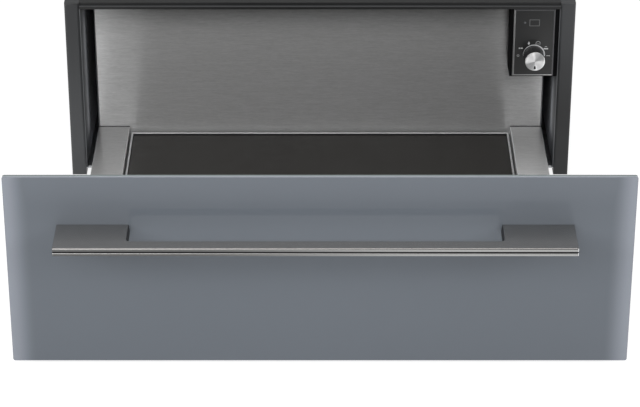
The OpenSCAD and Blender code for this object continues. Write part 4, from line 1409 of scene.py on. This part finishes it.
@dataclass
class Casing:
    """The outer casing, its posts and top rail, and the slides that it carries."""

    shop: Workshop
    sheet: Sheet = Sheet(1.5 * MM, 0.6 * MM)
    post_corner: float = 0.5 * MM
    ledge_depth: float = 3 * MM
    ledge_height: float = 3.3 * MM
    ledge_facing: float = 0.7
    rail_corner: float = 0.2 * MM

    def build(self) -> None:
        """Makes every piece of the casing."""
        self.posts()
        self.top_rail()
        self.shop.soften(
            "casing", ZINC, 0.35 * MM, "base_pan", "base_ribs", "left_side_panel",
            "right_side_panel", "rear_panel", "top_cover", "slide_brackets",
        )
        self.shop.soften("casing", LINER_PAINT, 0.25 * MM, "left_liner", "right_liner")
        self.shop.soften("casing", ZINC, 0.25 * MM, "rear_baffle")
        for side in ("left", "right"):
            self.shop.soften("casing", SLIDE_STEEL, 0.3 * MM, f"{side}_outer_rail")
            self.shop.soften("middle_rails", SLIDE_STEEL, 0.3 * MM, f"{side}_middle_rail")
        self.shop.dress(BRASS, "outer_ball_cages", "inner_ball_cages")
        self.shop.dress(RUBBER, "stop_buffers")

    def posts(self) -> None:
        """Each front post: a folded tray, open to the rear."""
        for side, finish in (("left", LEFT_POST_PAINT), ("right", RIGHT_POST_PAINT)):
            low, high = box(f"{side}_post")
            outline = Outline(upright(low, high), self.post_corner, 4)
            shell = self.sheet.tray(outline, Axis.Y, low[1], high[1])
            self.shop.add(f"{side}_post_sheet", shell, finish, "casing", f"{side}_post")

    def top_rail(self) -> None:
        """The stepped top rail: a section in Y and Z, carried along X."""
        low, high = box("top_rail")
        sheet = self.sheet.thickness
        face, lip = low[1] + self.ledge_depth, low[2] + self.ledge_height
        radii = np.full(10, self.rail_corner)
        radii[[0, 1, 3]] = 0.5 * MM, 0.5 * MM, 0.8 * MM
        section = Outline(
            [(low[1], low[2]), (low[1], lip), (face, lip), (face, high[2]), (high[1], high[2]),
             (high[1], high[2] - sheet), (face + sheet, high[2] - sheet),
             (face + sheet, low[2] + sheet), (high[1], low[2] + sheet), (high[1], low[2])],
            radii, 4,
        )
        shell = slab(section, Axis.X, low[0], high[0], 0.05 * MM, 2)
        piece = self.shop.add("top_rail_sheet", shell, RAIL_PAINT, "casing", "top_rail")
        centre, normal = places(piece.data)
        # Up-facing faces at the lip take a lighter copy of the paint: painted light
        lit_ledge = (normal[:, 2] > self.ledge_facing) & (np.abs(centre[:, 2] - lip) < 0.6 * MM)
        self.shop.part(piece, lit_ledge, LEDGE_LIGHT)


@dataclass
class ControlUnit:
    """The control unit: housing, framed face with its printed marks, lens and knob."""

    shop: Workshop
    centre: tuple = (232.7 * MM, 146.7 * MM)
    frame_width: float = 1.7 * MM
    frame_slope: float = 0.9 * MM
    ink: tuple = (0.04 * MM, 0.01 * MM)
    arc_radius: float = 11.5 * MM
    arc_widths: tuple = (0.25 * MM, 1.5 * MM)
    arch_line: float = 0.4 * MM
    display: tuple = ((226.6 * MM, 180.6 * MM), (237.8 * MM, 188.4 * MM))
    display_corner: float = 0.3 * MM
    display_line: float = 0.7 * MM
    lens_dome: float = 0.28 * MM
    skirt: float = 2.5 * MM
    skirt_step: float = 0.45 * MM
    hollow: float = 3.0 * MM

    def build(self) -> None:
        """Makes every piece of the control unit."""
        self.shop.soften("casing", BLACK_PLASTIC, 0.5 * MM, "control_housing")
        self.shop.soften("casing", FASCIA_BLACK, 0.15 * MM, "control_fascia")
        self.face_frame()
        self.marks()
        self.lens()
        self.knob()
        self.shop.dress(BOARD, "control_board")
        self.shop.dress(SWITCH_PLASTIC, "rotary_switch")

    def face_frame(self) -> None:
        """The frame of the face, which slopes outwards and carries painted shade at the right and the
        top.
        """
        low, high = box("fascia_trim")
        width = self.frame_width
        section = Outline(
            [(0, high[1]), (0, low[1] + self.frame_slope), (1.2 * MM, low[1]), (width, low[1]),
             (width, high[1])],
            [0, 0.2 * MM, 0.1 * MM, 0.05 * MM, 0], 3,
        )
        shell = rim(Outline(upright(low, high)), section, Axis.Y)
        piece = self.shop.add("face_frame", shell, FACE_STEEL, "casing", "fascia_trim")
        x, _, z = places(piece.data)[0].T
        # Painted shade on the right and top sides of the frame
        self.shop.part(piece, (x > high[0] - width - 0.1 * MM) | (z > high[2] - width), TRIM_SHADE)

    def inked(self) -> Array:
        """The front and the rear of the ink on the face."""
        return box("control_fascia")[0][1] + np.array([-self.ink[0], self.ink[1]])

    def mark(self, outline: Array) -> Shell:
        """One printed mark: a thin slab of ink on the face, with an outline in X and Z."""
        return Axis.Y.carry(np.repeat(outline[None], 2, 0), self.inked())

    def drop(self, place: tuple, size: tuple) -> Array:
        """A drop, whose upper half narrows to a tip.

        Its points are (width * cos t * draw, height * sin t) / 2, where draw is
        (1 - 0.98 * sin t) ** 0.6 in the upper half and 1 in the lower one.

        Args:
            place: millimetres to the right of the knob's axis and above it.
            size: width and height in millimetres.

        Returns:
            The outline.
        """
        cos, sin = circle(full_turn(24)).T
        draw = np.where(sin > 0, (1 - 0.98 * np.abs(sin)) ** 0.6, 1.0)
        half = np.array(size) * MM / 2
        return self.centre + np.array(place) * MM + half * np.stack([cos * draw, sin], 1)

    def bar(self, place: tuple, size: tuple) -> Array:
        """A straight mark with round corners.

        Args:
            place: as for drop.
            size: as for drop.

        Returns:
            The outline.
        """
        place, size = np.array(place) * MM, np.array(size) * MM
        low = self.centre + place - size / 2
        return Outline(rectangle(low, low + size), 0.3 * min(size), 3).ring()

    def arch(self, place: tuple, radius: float, sweep: float = math.pi) -> Array:
        """A thin line that goes round a place.

        Args:
            place: as for drop.
            radius: its radius in millimetres.
            sweep: the angle by which it goes round.

        Returns:
            The outline.
        """
        ray = circle(np.linspace(0, sweep, 20))
        centre = self.centre + np.array(place) * MM
        outer, inner = (
            centre + ray * (radius * MM + way * self.arch_line / 2) for way in (1, -1)
        )
        return np.vstack([outer, inner[::-1]])

    def marks(self) -> None:
        """Six small signs, the scale arc, which widens to the right, and a plain rectangle."""
        signs = [
            self.arch((-17.1, -1), 1.1, 1.95 * math.pi),
            self.bar((-15.7, 7.8), (2.0, 1.4)),
            self.bar((-13.2, 7.8), (2.0, 1.4)),
            self.drop((-5.9, 13.8), (2.2, 3.8)),
            self.arch((4.2, 13.6), 2.3),
            self.bar((4.2, 12.8), (5.8, 0.4)),
            self.bar((12.9, 7.2), (5.0, 1.5)),
            self.bar((12.9, 9.6), (2.6, 0.5)),
            self.bar((15.7, -1.2), (3.8, 0.7)),
        ]
        width = np.linspace(*self.arc_widths, 60)[:, None] / 2
        ray = circle(np.linspace(math.radians(186), math.radians(-8), 60))
        outer, inner = (self.centre + ray * (self.arc_radius + way * width) for way in (1, -1))
        sign = Outline(rectangle(*self.display), self.display_corner, 3)
        front, rear = self.inked()
        line = Outline(rectangle((0, front), (self.display_line, rear)))
        for name, shell, finish in (
            ("small_signs", joined([self.mark(outline) for outline in signs]), PRINT_PALE),
            ("scale_marks", self.mark(np.vstack([outer, inner[::-1]])), PRINT_WHITE),
            ("display_outline", rim(sign, line, Axis.Y), PRINT_GREY),
        ):
            self.shop.add(name, shell, finish, "casing", weighted=False)

    def lens(self) -> None:
        """The indicator lens: a rod with a low dome in front."""
        low, high = box("indicator_lens")
        r = (high[0] - low[0]) / 2
        inset, rise = quarter(5)
        dome = np.stack([r * (1 - inset), low[1] + self.lens_dome * rise], 1)
        profile = np.vstack([dome, [(r, high[1]), (0, high[1])]])
        shell = Lathe((low[0] + r, low[2] + r), 32).turn(profile)
        self.shop.add("lens_dome", shell, LENS_GREY, "casing", "indicator_lens")

    def knob(self) -> None:
        """The knob: a turned body with a skirt and fine grips, a spun cap, and a pointer."""
        low, high = box("knob")
        r = (high[0] - low[0]) / 2
        body, skirt = r - self.skirt_step, high[1] - self.skirt
        profile = Outline(
            [(self.hollow, low[1]), (body, low[1]), (body, skirt - 0.3 * MM), (r, skirt),
             (r, high[1]), (self.hollow, high[1])],
            [0, 0.2 * MM, 0.3 * MM, 0.3 * MM, 0.3 * MM, 0], 4,
        ).ring()
        shell = Lathe(self.centre, 144, 36, 0.12 * MM).turn(profile, closed=True)
        self.shop.add("knob_body", shell, KNOB_PLASTIC, "knob", "knob", weighted=False)
        low, high = box("knob_cap")
        r = (high[0] - low[0]) / 2
        crown = np.array([(-1.0, 0.04), (-0.6, 0), (-0.35, 0.03), (-0.08, 0.3), (0, 0.5)]) * MM
        face = np.vstack([
            [(0, low[1] + 0.12 * MM), (r * 0.5, low[1] + 0.1 * MM)], (r, low[1]) + crown,
            [(r, high[1] - 0.15 * MM), (r - 0.15 * MM, high[1]), (0, high[1])],
        ])
        shell = Lathe(self.centre, 96).turn(face)
        piece = self.shop.add("knob_face", shell, SPUN, "knob", "knob_cap", weighted=False)
        self.lay_round_uv(piece.data)
        low, high = box("knob_pointer")
        axis, foot, tip = self.centre[0], 1.4 * MM, (high[0] - low[0]) / 2 * 0.6
        outline = Outline(
            [(axis - foot, low[2]), (axis + foot, low[2]), (axis + tip, high[2]),
             (axis - tip, high[2])],
            np.repeat([1.1 * MM, 0.3 * MM], 2), 8,
        )
        shell = slab(outline, Axis.Y, low[1], high[1] + 0.12 * MM, 0.08 * MM, 2)
        self.shop.add("pointer", shell, POINTER_BLACK, "knob", "knob_pointer", weighted=False)
        self.shop.dress(SCREW_STEEL, "knob_shaft")

    def lay_round_uv(self, mesh: Mesh) -> None:
        """Gives the spun face a UV map of angle and radius about the knob's axis.

        Args:
            mesh: the mesh. A face's angles are kept on one side of the seam.
        """
        points, totals = face_corners(mesh)
        starts = np.concatenate([[0], np.cumsum(totals)[:-1]])
        x, z = points[:, 0] - self.centre[0], points[:, 2] - self.centre[1]
        radius = np.hypot(x, z)
        middle_x, middle_z = (
            np.repeat(np.add.reduceat(part, starts) / totals, totals) for part in (x, z)
        )
        middle = np.arctan2(middle_z, middle_x)
        turn = np.arctan2(z, x) - middle
        angle = middle + np.where(radius < 1e-6, 0.0, np.arctan2(np.sin(turn), np.cos(turn)))
        uv = np.stack([angle * 0.01, radius], 1)
        mesh.uv_layers["UVMap"].data.foreach_set("uv", uv.astype(np.float32).ravel())


@dataclass
class MainsSide:
    """Cable gland, terminal box, power module and the casing's screws."""

    shop: Workshop
    gland_centre: tuple = (-150 * MM, 35.2 * MM)
    bore: float = 4 * MM
    thread: float = 8 * MM
    cap: float = 8.5 * MM
    flange: float = 11 * MM
    flange_depth: float = 2.5 * MM
    nut: tuple = (8.05 * MM, 11.5 * MM)
    screw_radius: float = 1.5 * MM
    head_radius: float = 3 * MM
    head_edge: float = 0.5 * MM
    recess_half: float = 0.55 * MM
    recess_reach: float = 1.9 * MM
    recess_depth: float = 1.0 * MM

    def build(self) -> None:
        """Makes every piece of the mains side."""
        self.gland()
        self.screws()
        self.shop.soften("casing", PALE_PLASTIC, 0.5 * MM, "terminal_box")
        self.shop.dress(MODULE, "power_module")

    def gland(self) -> None:
        """The gland: a ring with a fluted cap, a flange, a thread and a six-sided nut inside."""
        low, high = box("cable_gland")
        panel = box("rear_panel")[1][1]
        bore, end = self.bore, panel + self.flange_depth
        tail = Outline(
            [(bore, low[1]), (self.thread, low[1]), (self.thread, panel), (self.flange, panel),
             (self.flange, end), (bore, end)],
            [0, 0.6 * MM, 0, 0.4 * MM, 0.6 * MM, 0], 4,
        ).ring()
        corners = rectangle((bore, end - 0.2 * MM), (self.cap, high[1]))
        dome = Outline(corners, [0, 0, 2.4 * MM, 0.8 * MM], 6).ring()
        corners = rectangle((self.nut[0], panel - 5.7 * MM), (self.nut[1], panel - 1.2 * MM))
        nut = Outline(corners, 0.4 * MM, 3).ring()
        turns = full_turn(96)[None, :]
        side = math.cos(math.pi / 6) / np.cos((turns % (math.pi / 3)) - math.pi / 6)
        r = nut[:, :1] * np.where(nut[:, :1] > 9 * MM, side, 1)
        hexagon = self.gland_centre + r[..., None] * circle(turns)
        shell = joined([
            Lathe(self.gland_centre, 64).turn(tail, closed=True),
            Lathe(self.gland_centre, 96, 12, 0.8 * MM).turn(dome, closed=True),
            Axis.Y.carry(hexagon, nut[:, 1], closed=True),
        ])
        self.shop.add("gland_body", shell, BLACK_PLASTIC, "casing", "cable_gland", weighted=False)

    def screw(self, seat: Array, way: Array, head: float, length: float) -> Shell:
        """One screw with a cross recess.

        Its profile is turned about its axis. On the head's top the height falls by the depth of
        the recess where the smaller of |u| and |v| is under half the slot's width and the larger
        is within its reach.

        Args:
            seat: the point under the head, on the axis.
            way: unit vector from the seat to the head.
            head: height of the head.
            length: length of the shank.

        Returns:
            The closed surface.
        """
        edge = self.head_edge
        inset, rise = quarter(4)
        top = np.linspace(self.head_radius - edge, 0, 12)[1:]
        radius = np.concatenate([
            [0, self.screw_radius * 0.6, self.screw_radius, self.screw_radius],
            [self.head_radius, self.head_radius], self.head_radius - edge * rise, top,
        ])
        height = np.concatenate([
            [-length, -length, -length + 0.6 * MM, 0, 0, head - edge],
            head - edge * inset, np.full(len(top), head),
        ])[:, None]
        ray = circle(full_turn(48))
        u, v = np.moveaxis(radius[:, None, None] * ray, -1, 0)
        narrow, wide = np.sort(np.abs([u, v]), 0)
        cut = np.clip((self.recess_half - narrow) / (0.25 * MM) + 0.5, 0, 1)
        cut = cut * np.clip((self.recess_reach - wide) / (0.4 * MM) + 0.5, 0, 1)
        deep = min(self.recess_depth, head * 0.7)
        height = height - np.where(height > head - 1e-9, cut * deep, 0)
        first = np.array([1.0, 0, 0])
        second = np.cross(way, first)
        points = seat + u[..., None] * first + v[..., None] * second + height[..., None] * way
        return loft(points, caps=False)

    def screws(self) -> None:
        """All screws of the casing, at the places of the CAD node's own."""
        up, back, flat, thick, long = (0, 0, 1), (0, 1, 0), 1.2 * MM, 1.6 * MM, 8 * MM
        table = []
        for x, foot in ((-267.4, -251.9), (267.4, 251.9)):
            table += [((x, y, 206.8), up, flat, long) for y in (-197.6, 0, 197.6)]
            table += [((x, 260, z), back, thick, long) for z in (41.6, 166.4)]
            table += [((foot, y, 10.7), up, thick, 2.7 * MM) for y in (-234.0, -58.0, 118.0)]
        shells = [
            self.screw(np.array(seat) * MM, np.array(way, float), head, length)
            for seat, way, head, length in table
        ]
        name = "casing_cross_screws"
        self.shop.add(name, joined(shells), SCREW_STEEL, "casing", "casing_screws", weighted=False)


# ---------- studio ----------


@dataclass
class Studio:
    """Camera, floor, world and lamps."""

    camera_place: tuple = (0.0, -2.763, 1.286)
    pitch: float = 27.84
    lens: float = 141.9
    floor_half: float = 9.0
    softbox: tuple = (1.4, 2.0)
    square: tuple = (1.0, 1.0)

    def camera(self) -> None:
        """The camera at the photograph's height and distance, with no shift and no blur."""
        data = bpy.data.cameras.new("Camera")
        data.lens = self.lens
        data.sensor_width = 36
        camera = bpy.data.objects.new("Camera", data)
        camera.location = self.camera_place
        camera.rotation_euler = (math.radians(90 - self.pitch), 0, 0)
        bpy.context.scene.collection.objects.link(camera)
        bpy.context.scene.camera = camera

    def floor(self) -> None:
        """A pale floor that keeps the object's shadow, and glows where it is seen."""
        mesh = bpy.data.meshes.new("floor")
        half = self.floor_half
        corners = [(x, y, 0) for x, y in rectangle((-half, -half), (half, half))]
        mesh.from_pydata(corners, [], [(0, 1, 2, 3)])
        floor = bpy.data.objects.new("floor", mesh)
        bpy.context.scene.collection.objects.link(floor)
        material = bpy.data.materials.new("pale_floor")
        n = Nodes(material)
        pale = n.add("BsdfPrincipled", Base_Color=(0.86, 0.86, 0.86), Roughness=0.9).outputs[0]
        glow = n.add("Emission", Strength=1.3).outputs[0]
        share = n.maths("MULTIPLY", self.seen(n), 0.65)
        n.add("OutputMaterial", Surface=n.fill(n.add("MixShader"), share, pale, glow))
        mesh.materials.append(material)

    @staticmethod
    def seen(n: Nodes) -> Socket:
        """One for camera, glossy and transmission rays, and zero for the others.

        Args:
            n: the nodes of the tree.

        Returns:
            The value.
        """
        rays = n.add("LightPath").outputs
        sharp = n.maths("MAXIMUM", rays["Is Camera Ray"], rays["Is Glossy Ray"])
        return n.maths("MAXIMUM", sharp, rays["Is Transmission Ray"])

    def world(self) -> None:
        """White round the horizon, darker overhead, and a plain level for soft light."""
        world = bpy.data.worlds.new("studio")
        bpy.context.scene.world = world
        n = Nodes(world)
        rise = n.axis(n.add("TexCoord").outputs["Generated"], "Z")
        fall = n.spread(rise, (0.16, 0.42), (1.0, 0.38), smooth=True)
        plain = n.add("Background", Strength=0.42).outputs[0]
        shown = n.add("Background", Strength=fall).outputs[0]
        n.add("OutputWorld", Surface=n.fill(n.add("MixShader"), self.seen(n), plain, shown))

    def lamp(self, name: str, place: tuple, aim: tuple, size: tuple, power: float) -> None:
        """An area lamp that points at a place.

        Args:
            name: its name.
            place: where it hangs.
            aim: the point that it lights.
            size: width and height.
            power: in watts.
        """
        data = bpy.data.lights.new(name, "AREA")
        data.shape = "RECTANGLE"
        data.size, data.size_y = size
        data.energy = power
        lamp = bpy.data.objects.new(name, data)
        lamp.location = place
        x, y, z = np.array(aim, float) - np.array(place, float)
        lamp.rotation_euler = (math.atan2(math.hypot(x, y), -z), 0, math.atan2(-x, y))
        bpy.context.scene.collection.objects.link(lamp)

    def build(self) -> None:
        """Sets the whole studio and the plain colour view."""
        self.floor()
        self.world()
        self.lamp("left softbox", (-1.1, -3.0, 2.2), (-0.1, -0.3, 2.2), self.softbox, 24)
        self.lamp("right softbox", (1.1, -3.0, 2.2), (0.1, -0.3, 2.2), self.softbox, 8.5)
        self.lamp("middle softbox", (0, -3.1, 2.2), (0, -0.3, 2.2), (0.8, 2.0), 10.0)
        self.lamp("key", (-2.0, -1.9, 1.3), (0, -0.3, 0.1), self.square, 18)
        self.lamp("fill", (2.0, -1.9, 1.3), (0, -0.3, 0.1), self.square, 16.5)
        self.lamp("overhead", (0, 0.1, 2.6), (0, -0.5, 0), (2.2, 1.6), 16)
        bpy.context.scene.view_settings.view_transform = "Standard"


def clear_defaults() -> None:
    """Removes what a new Blender file holds besides the CAD frame."""
    kept = set(frame["nodes"].values()) | set(frame["bodies"].values())
    for thing in list(bpy.data.objects):
        if thing not in kept:
            bpy.data.objects.remove(thing)


def plain(corner: object) -> list:
    """A corner as a plain list of numbers."""
    return [float(value) for value in corner]


def main() -> None:
    """Builds the studio and every sub-assembly."""
    logging.basicConfig(level=logging.INFO, format="%(name)s: %(message)s")
    clear_defaults()
    studio = Studio()
    studio.camera()
    shop = Workshop()
    for part in (DrawerFront, DrawerBody, HeatedPlate, Casing, ControlUnit, MainsSide):
        part(shop).build()
        log.info("%s is done", part.__name__)
    studio.build()
    bpy.context.view_layer.update()
    log.info("%d pieces made", shop.made)


if __name__ == "__main__":
    main()
